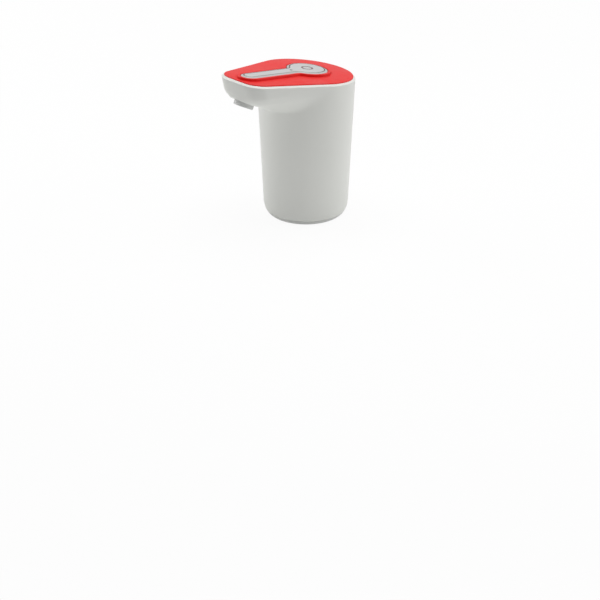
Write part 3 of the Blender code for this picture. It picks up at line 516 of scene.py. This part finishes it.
def outerSkin():
    room, steps = shellLook["headRoom"], shellLook["wallSteps"]
    rings = [sectionRing(lidPlane(-form["reach"]) + room,
                         form["reach"] + room * math.tan(math.radians(form["frontLean"])), 0)]
    rings += [sectionRing(height, reach, 0) for height, reach in spoutSections(0)]
    drop = form["straightTop"] - form["skirtLow"]
    rings += [sectionRing(form["straightTop"] - drop * i / steps, 0, 0)
              for i in range(steps + 1)]
    return [[fullChin(point) for point in ring] for ring in rings]


def innerSkin():
    room, wall, rim = shellLook["headRoom"], form["wall"], shellLook["skirtRim"]
    topReach = form["reach"] + room * math.tan(math.radians(form["frontLean"]))
    rings = [sectionRing(lidPlane(-form["reach"]) + room, topReach - wall, wall)]
    rings += [sectionRing(height, reach, wall) for height, reach in spoutSections(wall)]
    radius = form["lowRadius"] - wall
    socket = hullRing([(0, 0, radius)])
    rings.append([(x, y, form["socketTop"]) for x, y in socket])
    lip = arc(radius + rim, form["skirtLow"] + rim, rim, 180, 270, shellLook["skirtSteps"])
    return rings + [[(x * r / radius, y * r / radius, z) for x, y in socket] for r, z in lip]


def buildShell():
    look = shellLook
    bm = bmesh.new()
    rings = outerSkin()
    loop = startRing(bm, rings[0])
    for ring in rings[1:]:
        loop = extrudeRing(bm, loop, ring)
    outerFaces = set(bm.faces)
    for ring in reversed(innerSkin()):
        loop = extrudeRing(bm, loop, ring)
    rimLow = look["rimDrop"] + look["rimRound"]
    cutPlane(bm, [face for face in bm.faces if face not in outerFaces], -look["seatDepth"])
    cutPlane(bm, [face for face in bm.faces
                  if face.calc_center_median().z > form["height"] - look["cutReach"]], -rimLow)
    bmesh.ops.remove_doubles(bm, verts=bm.verts, dist=look["mergeGap"])
    openEdges = [edge for edge in bm.edges if edge.is_boundary]
    high = [edge for edge in openEdges if abs(edge.verts[0].co.z + rimLow
                                              - lidPlane(edge.verts[0].co.y)) < look["planeGap"]]
    low = [edge for edge in openEdges if edge not in set(high)]
    face = capFace(bm, high)
    slope = math.degrees(math.atan2(look["rimDrop"], look["rimWidth"]))
    inwards, upwards = roundTop(bm, face, look["rimRound"], 90 - slope)
    stepFace(bm, face, look["rimWidth"] - inwards, rimLow - upwards)
    rimLoop = [tuple(corner.vert.co) for corner in face.loops]
    rimEdges = list(face.edges)
    stepFace(bm, face, look["seatDraft"], -look["seatDepth"])
    seatEdges = list(face.edges)
    bmesh.ops.delete(bm, geom=[face], context="FACES_ONLY")
    bmesh.ops.bridge_loops(bm, edges=seatEdges + low)
    bmesh.ops.recalc_face_normals(bm, faces=bm.faces)
    bmesh.ops.bevel(bm, geom=rimEdges, offset=look["seatRound"],
                    segments=look["seatRoundSteps"], profile=0.5, affect="EDGES",
                    material=-1, clamp_overlap=False)
    return bm, rimLoop


def portCutter():
    # Flat oval drawn through the back wall, a little larger than the charging socket.
    low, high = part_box("charge_socket")
    gap = shellLook["portGap"]
    half, radius = high.x + gap, (high.z - low.z) / 2 + gap
    middle = (high.z + low.z) / 2
    steps = shellLook["portSteps"]
    outline = arc(half - radius, middle, radius, -90, 90, steps)
    outline += arc(radius - half, middle, radius, 90, 270, steps)
    bm = bmesh.new()
    start = startRing(bm, [(x, high.y - gap, z) for x, z in outline])
    end = extrudeRing(bm, start, [(x, form["topRadius"] + gap, z) for x, z in outline])
    for loop in (start, end):
        bmesh.ops.contextual_create(bm, geom=ringEdges(bm, loop))
    bmesh.ops.recalc_face_normals(bm, faces=bm.faces)
    return bm


# Lid: a red plate with a soft edge and a raised well round the key

keyForm = {
    "disc": 14.0 * mm,
    "discY": 1.0 * mm,
    "bar": 12.2 * mm,
    "barReach": 57.6 * mm,
    "hollow": 5.0 * mm,
    "discSteps": 30,
    "hollowSteps": 8,
    "barSteps": 8,
    "endSteps": 16,
}
lidLook = {
    "gap": 0.3 * mm,
    "proud": 0.6 * mm,            # the lid's face stands above the bright edge
    "thickness": 2.4 * mm,
    "edgeRound": 0.40 * mm,
    "wellHeight": 2.2 * mm,
    "wellWall": 1.9 * mm,
    "wellRound": 0.30 * mm,
    "wellRoundSteps": 6,
    "wellFlare": 0.15 * mm,
    "mouthRound": 0.3 * mm,
    "mouthRoundSteps": 4,
    "keyGap": 0.35 * mm,
    "grooveWidth": 0.55 * mm,
    "grooveDepth": 0.3 * mm,
    # the groove's section from its outer edge to the well: shares of its width and depth
    "grooveShares": ((1, 0), (0.85, 0.7), (0.45, 1), (0, 0.8)),
}


def keyholeRing(grow, height):
    # Disc with a long round-ended bar towards the spout, on the sloping lid plane.
    half, disc = keyForm["bar"] / 2 + grow, keyForm["disc"] + grow
    hollow = keyForm["hollow"] - grow
    hollowX = half + hollow
    hollowY = keyForm["discY"] - math.sqrt((disc + hollow) ** 2 - hollowX ** 2)
    join = math.degrees(math.atan2(hollowY - keyForm["discY"], hollowX))
    side = arc(0, keyForm["discY"], disc, 90, join, keyForm["discSteps"])
    side += arc(hollowX, hollowY, hollow, join + 180, 180, keyForm["hollowSteps"])[1:]
    endY, steps = keyForm["bar"] / 2 - keyForm["barReach"], keyForm["barSteps"]
    side += [(half, hollowY + (endY - hollowY) * i / steps) for i in range(1, steps)]
    side += arc(0, endY, half, 0, -90, keyForm["endSteps"])
    outline = side + [(-x, y) for x, y in reversed(side[1:-1])]
    return [(x, y, lidPlane(y, height)) for x, y in outline]


def sweepRings(bm, profile, ring=keyholeRing):
    # A wall whose rings follow the (grow, height) pairs of a profile. Gives its end rings.
    loop = startRing(bm, ring(*profile[0]))
    first = loop
    for grow, height in profile[1:]:
        loop = extrudeRing(bm, loop, ring(grow, height))
    return first, loop


def roundOut(grow, height, radius, steps):
    # Quarter round from an upright side to a level top.
    turns = [math.pi / 2 * i / steps for i in range(steps + 1)]
    return [(grow - radius * (1 - math.cos(a)), height - radius * (1 - math.sin(a)))
            for a in turns]


def roundIn(grow, height, radius, steps):
    # Quarter round from a level top down into a recess.
    turns = [math.pi / 2 * i / steps for i in range(steps + 1)]
    return [(grow + radius * (1 - math.sin(a)), height - radius * (1 - math.cos(a)))
            for a in turns]


def fillBetween(bm, outerEdges, innerLoop):
    # A face on the lid plane's slope between an outer run of edges and a hole.
    bmesh.ops.triangle_fill(bm, use_beauty=True, normal=(0, form["lidRise"], 1),
                            edges=list(outerEdges) + ringEdges(bm, innerLoop))


def buildLid(rimLoop):
    look = lidLook
    bm = bmesh.new()
    loop = startRing(bm, [(x, y, z - look["thickness"]) for x, y, z in rimLoop])
    face = capFace(bm, ringEdges(bm, loop))
    stepFace(bm, face, look["gap"], 0)
    bmesh.ops.delete(bm, geom=[item for item in bm.faces if item is not face], context="FACES")
    made = bmesh.ops.extrude_face_region(bm, geom=[face], use_keep_orig=True)
    topFace = next(item for item in made["geom"] if isinstance(item, bmesh.types.BMFace))
    rise = look["thickness"] + look["proud"] - look["edgeRound"]
    bmesh.ops.translate(bm, verts=topFace.verts, vec=(0, 0, rise))
    roundTop(bm, topFace, look["edgeRound"])
    outerWell = look["keyGap"] + look["wellWall"]
    foot = outerWell + look["wellFlare"]
    high, level = look["wellHeight"], look["proud"]
    width, depth = look["grooveWidth"], look["grooveDepth"]
    profile = [(foot + width * out, level - depth * down)
               for out, down in look["grooveShares"]]
    profile += roundOut(outerWell, high, look["wellRound"], look["wellRoundSteps"])
    profile += roundIn(look["keyGap"], high, look["mouthRound"], look["mouthRoundSteps"])
    profile += [(look["keyGap"], -look["thickness"])]
    first, last = sweepRings(bm, profile)
    topEdges, lowEdges = list(topFace.edges), list(face.edges)
    bmesh.ops.delete(bm, geom=[topFace, face], context="FACES_ONLY")
    fillBetween(bm, topEdges, first)
    fillBetween(bm, lowEdges, last)
    bmesh.ops.recalc_face_normals(bm, faces=bm.faces)
    return bm


# Key: a grey keyhole frame with a silver face, a near-black band of painted shade in the groove
# round the face, and a ring mark

keyLook = {
    "top": 2.6 * mm,
    "slope": 0.6 * mm,             # the frame falls outwards from its inner edge
    "flangeWidth": 1.1 * mm,
    "flangeTop": -2.7 * mm,
    "flangeLow": -3.7 * mm,
    "round": 0.45 * mm,
    "roundSteps": 5,
    "rim": 1.7 * mm,
    "innerRound": 0.15 * mm,
    "faceRoundSteps": 3,           # also of the inner edge
    "faceDepth": 0.9 * mm,
    "faceGap": 0.70 * mm,
    "faceRound": 0.12 * mm,
    "lensY": -14.0 * mm,
    "lensHole": 1.1 * mm,
    "lensSteps": 24,
    # how far the band of painted shade in the groove sits below the key's top
    "grooveShadeSink": 0.06 * mm,
    "markRadius": 4.2 * mm,
    "markWidth": 1.3 * mm,
    "markHeight": 0.03 * mm,
    "markSteps": 64,
}


def buildKey():
    look = keyLook
    bm = bmesh.new()
    profile = [(look["flangeWidth"], look["flangeLow"]), (look["flangeWidth"], look["flangeTop"]),
               (0, look["flangeTop"])]
    profile += roundOut(0, look["top"] - look["slope"], look["round"], look["roundSteps"])
    profile += roundIn(-look["rim"], look["top"], look["innerRound"], look["faceRoundSteps"])
    profile += [(-look["rim"], look["top"] - look["faceDepth"])]
    first, last = sweepRings(bm, profile)
    for loop in (first, last):
        bmesh.ops.contextual_create(bm, geom=ringEdges(bm, loop))
    bmesh.ops.recalc_face_normals(bm, faces=bm.faces)
    return bm


def circleRing(y, radius, height, count):
    # A ring of the key's own slope, round a place on its middle line.
    run = arc(0, y, radius, 0, 360, count)[:-1]
    return [(px, py, lidPlane(py, height)) for px, py in run]


def buildKeyFace():
    look = keyLook
    bm = bmesh.new()
    grow, high = -look["rim"] - look["faceGap"], look["top"]
    low = look["top"] - look["faceDepth"] + look["faceGap"]
    first, last = sweepRings(bm, [(grow, low)] + roundOut(grow, high, look["faceRound"],
                                                          look["faceRoundSteps"]))
    lens = (look["lensY"], look["lensHole"])
    hole = startRing(bm, circleRing(*lens, low, look["lensSteps"]))
    holeTop = extrudeRing(bm, hole, circleRing(*lens, high, look["lensSteps"]))
    fillBetween(bm, ringEdges(bm, first), hole)
    fillBetween(bm, ringEdges(bm, last), holeTop)
    bmesh.ops.recalc_face_normals(bm, faces=bm.faces)
    return bm


def bandMesh(outer, inner, low, high, ring):
    # A closed band with a square section.
    bm = bmesh.new()
    first, last = sweepRings(bm, [(outer, low), (outer, high), (inner, high), (inner, low)],
                             ring)
    bmesh.ops.bridge_loops(bm, edges=ringEdges(bm, first) + ringEdges(bm, last))
    bmesh.ops.recalc_face_normals(bm, faces=bm.faces)
    return bm


def buildPaintedGrooveShade():
    # A near-black band filling the groove round the silver face, set a little below its surface:
    # painted shade where the groove's shadow falls.
    look = keyLook
    return bandMesh(-look["rim"], -look["rim"] - look["faceGap"],
                    look["top"] - look["faceDepth"], look["top"] - look["grooveShadeSink"],
                    keyholeRing)


def markRing(radius, height):
    return circleRing(keyForm["discY"], radius, height, keyLook["markSteps"])


def buildRingMark():
    look = keyLook
    return bandMesh(look["markRadius"], look["markRadius"] - look["markWidth"],
                    look["top"] - look["markHeight"], look["top"] + look["markHeight"],
                    markRing)


# Outlet nozzle: a short stub with a rolled lip, square to the sloping underside

nozzleLook = {
    "radius": 6.5 * mm,
    "bore": 4.5 * mm,
    "length": 3.0 * mm,
    "lipRadius": 6.8 * mm,
    "lipTop": 0.5 * mm,
    "flange": 7.2 * mm,
    "flangeLow": 5.2 * mm,
    "flangeHigh": 6.6 * mm,
    "top": 7.6 * mm,
    "boreTop": 6.2 * mm,
    "round": 0.7 * mm,
    "holeGap": 0.55 * mm,
}


def nozzlePlace():
    # The nozzle's own frame: its middle on the chin's underside, its axis square to that.
    centre = Vector((0, -form["nozzleReach"], form["height"] - form["chinDrop"]))
    turn = Matrix.Rotation(-math.radians(form["underSlope"]), 4, "X")
    return Matrix.Translation(centre) @ turn


def buildNozzle():
    # The last number of a corner is its share of the rounding.
    look = nozzleLook
    low, lip = -look["length"], look["lipRadius"]
    points = [(0, look["boreTop"], 0), (look["bore"], look["boreTop"], 0.3),
              (look["bore"], low, 0.6), (lip, low, 1), (lip, look["lipTop"], 0.5),
              (look["radius"], look["lipTop"], 0.4),
              (look["radius"], look["flangeLow"], 0), (look["flange"], look["flangeLow"], 0),
              (look["flange"], look["flangeHigh"], 0), (look["radius"], look["flangeHigh"], 0),
              (look["radius"], look["top"], 0.5), (0, look["top"], 0)]
    profile = roundedProfile(points, look["round"])
    return turnedMesh(profile, place=nozzlePlace())


def nozzleCutter():
    # The hole for the nozzle in the shell's underside.
    wide, high = nozzleLook["radius"] + nozzleLook["holeGap"], nozzleLook["flangeLow"]
    return turnedMesh([(0, high), (wide, high), (wide, -form["wall"]), (0, -form["wall"])],
                      place=nozzlePlace())


# Neck seal: a silicone sleeve with grip lips. Its foot carries the body's curve on inwards

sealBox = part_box("neck_seal")
sealLook = {
    "outer": 27.76 * mm,
    "wall": 2.3 * mm,
    "lipDepth": 0.6 * mm,
    "lipHalf": 0.9 * mm,
    "lips": 2,
    "top": sealBox[1].z,
    "low": sealBox[0].z,
    "footTop": -22.9 * mm,
    "footSteps": 5,
    "round": 0.35 * mm,
    "turnSteps": 128,
}


def buildSeal():
    # The last number of a corner is its share of the rounding, here too.
    look = sealLook
    inner = look["outer"] - look["wall"]
    pitch = (look["top"] - look["low"]) / (look["lips"] + 1)
    points = [(inner, look["top"], 1), (look["outer"], look["top"], 1),
              (look["outer"], look["footTop"], 0.4),
              (bodyRadius(look["footTop"]), look["footTop"], 0.5)]
    for i in range(1, look["footSteps"] + 1):
        height = look["footTop"] + (look["low"] - look["footTop"]) * i / look["footSteps"]
        points.append((bodyRadius(height), height, 0.5))
    points.append((inner, look["low"], 1))
    for i in range(look["lips"], 0, -1):
        middle = -pitch * i
        points += [(inner, middle - look["lipHalf"], 0.6),
                   (inner - look["lipDepth"], middle, 0.8),
                   (inner, middle + look["lipHalf"], 0.6)]
    return turnedMesh(roundedProfile(points, look["round"], closed=True),
                      steps=look["turnSteps"], closed=True)


# Finishes


filmLook = {
    "flake": 5200,
    "flakeEdge": (0.42, 0.2),
    "flakeShare": 0.35,
    "drift": 60,
    "dark": (0.54, 0.545, 0.54, 1),
    "light": (0.60, 0.605, 0.60, 1),
    "flakeColour": (0.66, 0.67, 0.67, 1),
    "roughness": 0.34,
    "driftSwing": 0.12,
    "flakeRough": 0.08,
    "bump": (0.08, 0.02 * mm),     # strength and depth, here and below
}


def silverFilm(start):
    # Painted film with a fine metal flake.
    look = filmLook
    place = start.position()
    flake = place.cells(look["flake"])
    drift = place.noise(look["drift"], 2)
    base = drift.mixed(look["dark"], look["light"])
    flecks = flake.above(*look["flakeEdge"]) * look["flakeShare"]
    base = flecks.mixed(base, look["flakeColour"])
    rough = varied(look["roughness"], (drift, look["driftSwing"])) + flake * look["flakeRough"]
    return {"Base Color": base, "Roughness": rough,
            "Normal": bumped(start, flake, *look["bump"])}


metalLook = {
    "stretch": (1, 1, 40),
    "lines": 900,
    "stains": 160,
    "darkest": 0.84,
    "lightest": 1.06,
    "roughness": 0.28,
    "linesSwing": 0.22,
    "stainsSwing": 0.14,
    "bump": (0.12, 0.02 * mm),
}


def brushedMetal(colour):
    # Bare metal with drawn lines and faint stains.
    def build(start):
        look = metalLook
        place = start.position()
        lines = place.placed(scale=look["stretch"]).noise(look["lines"], 3)
        stains = place.noise(look["stains"], 4)
        base = stains.mixed(tint(colour, look["darkest"]), tint(colour, look["lightest"]))
        rough = varied(look["roughness"], (lines, look["linesSwing"]),
                       (stains, look["stainsSwing"]))
        return {"Base Color": base, "Roughness": rough.clamped(),
                "Normal": bumped(start, lines, *look["bump"])}
    return build


copperLook = {
    "lean": (0.5, 0.2, 0),
    "turns": {"Scale": 900.0, "Distortion": 1.2},
    "stains": 220,
    "dark": (0.28, 0.09, 0.04, 1),
    "light": (0.72, 0.31, 0.15, 1),
    "stainShare": 0.3,
    "stainColour": (0.42, 0.16, 0.08, 1),
    "roughness": 0.30,
    "stainRough": 0.16,
    "bump": (0.5, 0.08 * mm),
}


def woundCopper(start):
    # Turns of lacquered wire.
    look = copperLook
    place = start.position()
    leaning = place.placed(turn=look["lean"])
    turns = start.node("TexWave", {"wave_type": "BANDS", "bands_direction": "Z"},
                       {"Vector": leaning, **look["turns"]}, "Fac")
    stains = place.noise(look["stains"], 3)
    base = turns.mixed(look["dark"], look["light"])
    base = (stains * look["stainShare"]).mixed(base, look["stainColour"])
    return {"Base Color": base, "Roughness": look["roughness"] + stains * look["stainRough"],
            "Normal": bumped(start, turns, *look["bump"])}


softLook = {
    "bloom": (70, 5, 0.65),
    "bloomEdge": (0.60, 0.10),
    "bloomShare": 0.22,
    "bloomColour": (0.80, 0.79, 0.76, 1),
    "grain": 1500,
    "darkest": 0.93,
    "lightest": 1.05,
    "fineSwing": 0.14,
    "bloomSwing": 0.16,
    "bump": (0.25, 0.03 * mm),
}


def soft(colour, roughness):
    # Silicone or rubber with a pale bloom in patches.
    def build(start):
        look = softLook
        place = start.position()
        bloom = place.noise(*look["bloom"])
        fine = place.noise(look["grain"], 3)
        base = bloom.mixed(tint(colour, look["darkest"]), tint(colour, look["lightest"]))
        patches = bloom.above(*look["bloomEdge"]) * look["bloomShare"]
        base = patches.mixed(base, look["bloomColour"])
        rough = varied(roughness, (fine, look["fineSwing"]), (bloom, look["bloomSwing"]))
        return {"Base Color": base, "Roughness": rough.clamped(),
                "Normal": bumped(start, fine, *look["bump"])}
    return build


wrapLook = {
    "stretch": (1, 1, 6),
    "wrinkles": 150,
    "seamEdge": (0.6 * mm, 0.2 * mm),
    "drift": 30,
    "dark": (0.035, 0.22, 0.36, 1),
    "light": (0.05, 0.30, 0.44, 1),
    "seamShare": 0.4,
    "seamColour": (0.10, 0.42, 0.58, 1),
    "seamHeight": 0.5,
    "roughness": 0.30,
    "wrinkleSwing": 0.2,
    "bump": (0.3, 0.08 * mm),
}


def shrinkWrap(start):
    # Blue sleeve with a seam down its front and back, and fine stretch wrinkles.
    look = wrapLook
    place = start.position()
    wrinkles = place.placed(scale=look["stretch"]).noise(look["wrinkles"], 4)
    across = place.node("SeparateXYZ", {}, {0: place}, "X")
    seam = 1 - across.math("ABSOLUTE", across).above(*look["seamEdge"])
    drift = place.noise(look["drift"], 2)
    base = drift.mixed(look["dark"], look["light"])
    base = (seam * look["seamShare"]).mixed(base, look["seamColour"])
    rough = varied(look["roughness"], (wrinkles, look["wrinkleSwing"]))
    return {"Base Color": base, "Roughness": rough,
            "Normal": bumped(start, wrinkles + seam * look["seamHeight"], *look["bump"])}


maskLook = {
    "rows": {"offset": 0.37, "squash": 1.6},
    "tracks": {"Scale": 260.0, "Mortar Size": 0.06, "Mortar Smooth": 0.2, "Row Height": 0.35},
    "pads": 420,
    "padEdge": (0.16, 0.02),
    "weave": 2400,
    "green": (0.012, 0.13, 0.055, 1),
    "trackColour": (0.03, 0.24, 0.10, 1),
    "tin": (0.72, 0.71, 0.68, 1),
    "roughness": 0.34,
    "weaveSwing": 0.16,
    "padRough": 0.08,
    "padMetal": 0.8,
    "trackHeight": 0.5,
    "weaveHeight": 0.2,
    "bump": (0.3, 0.05 * mm),
}


def solderMask(start):
    # Green board: copper tracks under the mask, with tinned pads.
    look = maskLook
    place = start.position()
    tracks = place.node("TexBrick", look["rows"], {"Vector": place, **look["tracks"]}, "Fac")
    masked = place.cells(look["pads"]).above(*look["padEdge"])
    weave = place.noise(look["weave"], 2)
    base = tracks.mixed(look["green"], look["trackColour"])
    base = masked.mixed(look["tin"], base)
    rough = varied(look["roughness"], (weave, look["weaveSwing"]))
    rough = rough + (1 - masked) * look["padRough"]
    height = tracks * look["trackHeight"] + weave * look["weaveHeight"]
    return {"Base Color": base, "Roughness": rough,
            "Metallic": (1 - masked) * look["padMetal"],
            "Normal": bumped(start, height, *look["bump"])}


finishes = {
    "white_shell": moulded("whiteShell", (0.78, 0.79, 0.755), 0.40, strength=0.10,
                           mottle=0.012, wear=0.10),
    "red_lid": moulded("redLid", (0.76, 0.012, 0.010), 0.44, strength=0.14, mottle=0.03,
                       wear=0.06, Specular_IOR_Level=0.35),
    "grey_key": moulded("greyKey", (0.50, 0.51, 0.50), 0.34, strength=0.2, wear=0.15),
    "silver_film": surface("silverFilm", silverFilm, Metallic=0.2),
    "clear_lens": moulded("clearLens", (0.20, 0.20, 0.22), 0.12, strength=0.03, wear=0.0,
                          Coat_Weight=0.6),
    "grey_nozzle": moulded("greyNozzle", (0.68, 0.69, 0.675), 0.42, strength=0.15, wear=0.15),
    "base_plastic": moulded("basePlastic", (0.60, 0.605, 0.58), 0.46, strength=0.3, wear=0.2),
    "black_plastic": moulded("blackPlastic", (0.028, 0.028, 0.030), 0.42, strength=0.3,
                             wear=0.2, dust=0.15),
    "white_silicone": surface("whiteSilicone", soft((0.70, 0.71, 0.69), 0.50)),
    "clear_silicone": surface("clearSilicone", soft((0.62, 0.64, 0.63), 0.36),
                              Subsurface_Weight=0.15),
    "black_rubber": surface("blackRubber", soft((0.03, 0.03, 0.032), 0.62)),
    "steel": surface("steel", brushedMetal((0.58, 0.59, 0.60)), Metallic=1.0),
    "brass": surface("brass", brushedMetal((0.72, 0.53, 0.24)), Metallic=1.0),
    "copper": surface("copper", woundCopper, Metallic=0.85),
    "ferrite": moulded("ferrite", (0.075, 0.072, 0.07), 0.66, grain=900, strength=0.5,
                       depth=0.06 * mm, wear=0.35),
    "cell_wrap": surface("cellWrap", shrinkWrap),
    "board": surface("board", solderMask),
}
# near-black painted shade for the band in the groove round the key's face
paintedGrooveShade = moulded("paintedGrooveShade", (0.045, 0.04, 0.036), 0.5, strength=0.05, wear=0.0)
ringPrint = moulded("ringPrint", (0.16, 0.09, 0.10), 0.45, strength=0.05, wear=0.0)

for node in nodes.values():
    # Each solid already carries the name of its finish.
    slotName = node.material_slots[0].material.name.split(".")[0]
    node.material_slots[0].material = finishes[slotName]
print("finishes made for", len(nodes), "pieces")


# Pieces with a fine surface, each in place of its solid


def showPiece(name, bm, slot, body, replaced=None, finish=None):
    # A fine piece that rides on its body and, where it has one, stands for a solid.
    piece = newPiece(name, bm, finish or finishes[slot])
    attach(piece, body)
    if replaced:
        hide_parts(replaced)
    print(name, "made with", len(piece.data.polygons), "faces")
    return piece


shellMesh, rimLoop = buildShell()
shell = showPiece("fine_body_shell", shellMesh, "white_shell", "housing", "body_shell")
cutWith(shell, [nozzleCutter(), portCutter()])
showPiece("fine_lid", buildLid(rimLoop), "red_lid", "housing", "lid")
showPiece("fine_press_key", buildKey(), "grey_key", "key", "press_key")
showPiece("fine_key_face", buildKeyFace(), "silver_film", "key", "key_face")
# a band of painted shade in the groove round the key's face
showPiece("painted_groove_shade", buildPaintedGrooveShade(), "silver_film", "key", finish=paintedGrooveShade)
showPiece("ring_mark", buildRingMark(), "silver_film", "key", finish=ringPrint)
showPiece("fine_outlet_nozzle", buildNozzle(), "grey_nozzle", "housing", "outlet_nozzle")
showPiece("fine_neck_seal", buildSeal(), "white_silicone", "housing", "neck_seal")


# Studio: a pale floor that fades into a white surround, and soft lamps placed from the camera

studio = {
    "floorSize": 3.0,
    "floorCells": 8,
    "fade": (0.60, 0.25),          # distance at which the floor is half gone, and its blur
    "floorGlow": 0.92,             # share of its own light that the camera sees
    "floorBounce": 0.22,           # the same for every other ray
    "paperGrain": 30,
    "paperDark": (0.90, 0.90, 0.895, 1),
    "paperLight": (0.93, 0.93, 0.925, 1),
    "ambient": 0.22,
    "mirrorShare": 0.45,
    "lampTarget": (0, -0.01, 0.03),
    "lampDistance": 0.9,
}
lamps = {
    # angle from the camera's direction and rise, in degrees; share of the plain level; size
    "sideRight": (96, 22, 0.31, 0.7),
    "sideLeft": (-115, 22, 0.36, 0.7),
    "overhead": (150, 84, 0.80, 0.8),
    "front": (0, 12, 0.05, 0.9),
}


def buildFloor():
    bm = bmesh.new()
    bmesh.ops.create_grid(bm, x_segments=studio["floorCells"],
                          y_segments=studio["floorCells"], size=studio["floorSize"])
    bmesh.ops.translate(bm, verts=bm.verts, vec=(0, 0, sealLook["low"]))
    made = bpy.data.materials.new("paleFloor")
    made.use_nodes = True
    tree = made.node_tree
    tree.nodes.remove(tree.nodes["Principled BSDF"])
    start = Wire(tree)
    place = start.position()
    far = place.node("VectorMath", {"operation": "LENGTH"}, {0: place}, "Value")
    fade = far.above(*studio["fade"])
    seen = start.node("LightPath", {}, {}, "Is Camera Ray")
    paper = place.noise(studio["paperGrain"]).mixed(studio["paperDark"], studio["paperLight"])
    matt = start.node("BsdfDiffuse", {}, {"Color": paper})
    glow = start.node("Emission", {}, {"Color": (1, 1, 1, 1), "Strength": 1.0})
    clear = start.node("BsdfTransparent", {}, {})
    share = studio["floorBounce"] + seen * (studio["floorGlow"] - studio["floorBounce"])
    lit = start.node("MixShader", {}, {0: share, 1: matt, 2: glow})
    back = start.node("NewGeometry", {}, {}, "Backfacing")
    hidden = start.math("MAXIMUM", fade, back)
    end = start.node("MixShader", {}, {0: hidden, 1: lit, 2: clear})
    tree.links.new(end.socket, tree.nodes["Material Output"].inputs["Surface"])
    floor = newPiece("studio_floor", bm, made)


def buildWorld():
    # White to the camera and through clear pieces, over half of that in reflections, and
    # weak for all other rays.
    world = bpy.data.worlds.new("studioWorld")
    world.use_nodes = True
    bpy.context.scene.world = world
    tree = world.node_tree
    start = Wire(tree)
    paths = {name: start.node("LightPath", {}, {}, name)
             for name in ("Is Camera Ray", "Is Glossy Ray", "Is Transmission Ray")}
    direct = start.math("MAXIMUM", paths["Is Camera Ray"], paths["Is Transmission Ray"])
    seen = start.math("MAXIMUM", direct, paths["Is Glossy Ray"] * studio["mirrorShare"])
    strength = studio["ambient"] + seen * (1 - studio["ambient"])
    back = tree.nodes["Background"]
    tree.links.new(strength.socket, back.inputs["Strength"])
    back.inputs["Color"].default_value = (1, 1, 1, 1)


def buildLamps():
    target, distance = Vector(studio["lampTarget"]), studio["lampDistance"]
    cameraAngle = math.atan2(camera.location.y, camera.location.x)
    for name, (turn, rise, level, size) in lamps.items():
        angle, up = cameraAngle + math.radians(turn), math.radians(rise)
        way = Vector((math.cos(angle) * math.cos(up), math.sin(angle) * math.cos(up),
                      math.sin(up)))
        data = bpy.data.lights.new(name, "AREA")
        data.shape = "SQUARE"
        data.size = size
        data.energy = level * (math.pi * distance) ** 2
        lamp = bpy.data.objects.new(name, data)
        lamp.location = target + way * distance
        lamp.rotation_euler = way.to_track_quat("Z", "Y").to_euler()
        bpy.context.scene.collection.objects.link(lamp)


buildFloor()
buildWorld()
buildLamps()
bpy.context.scene.view_settings.view_transform = "Standard"
print("studio set")
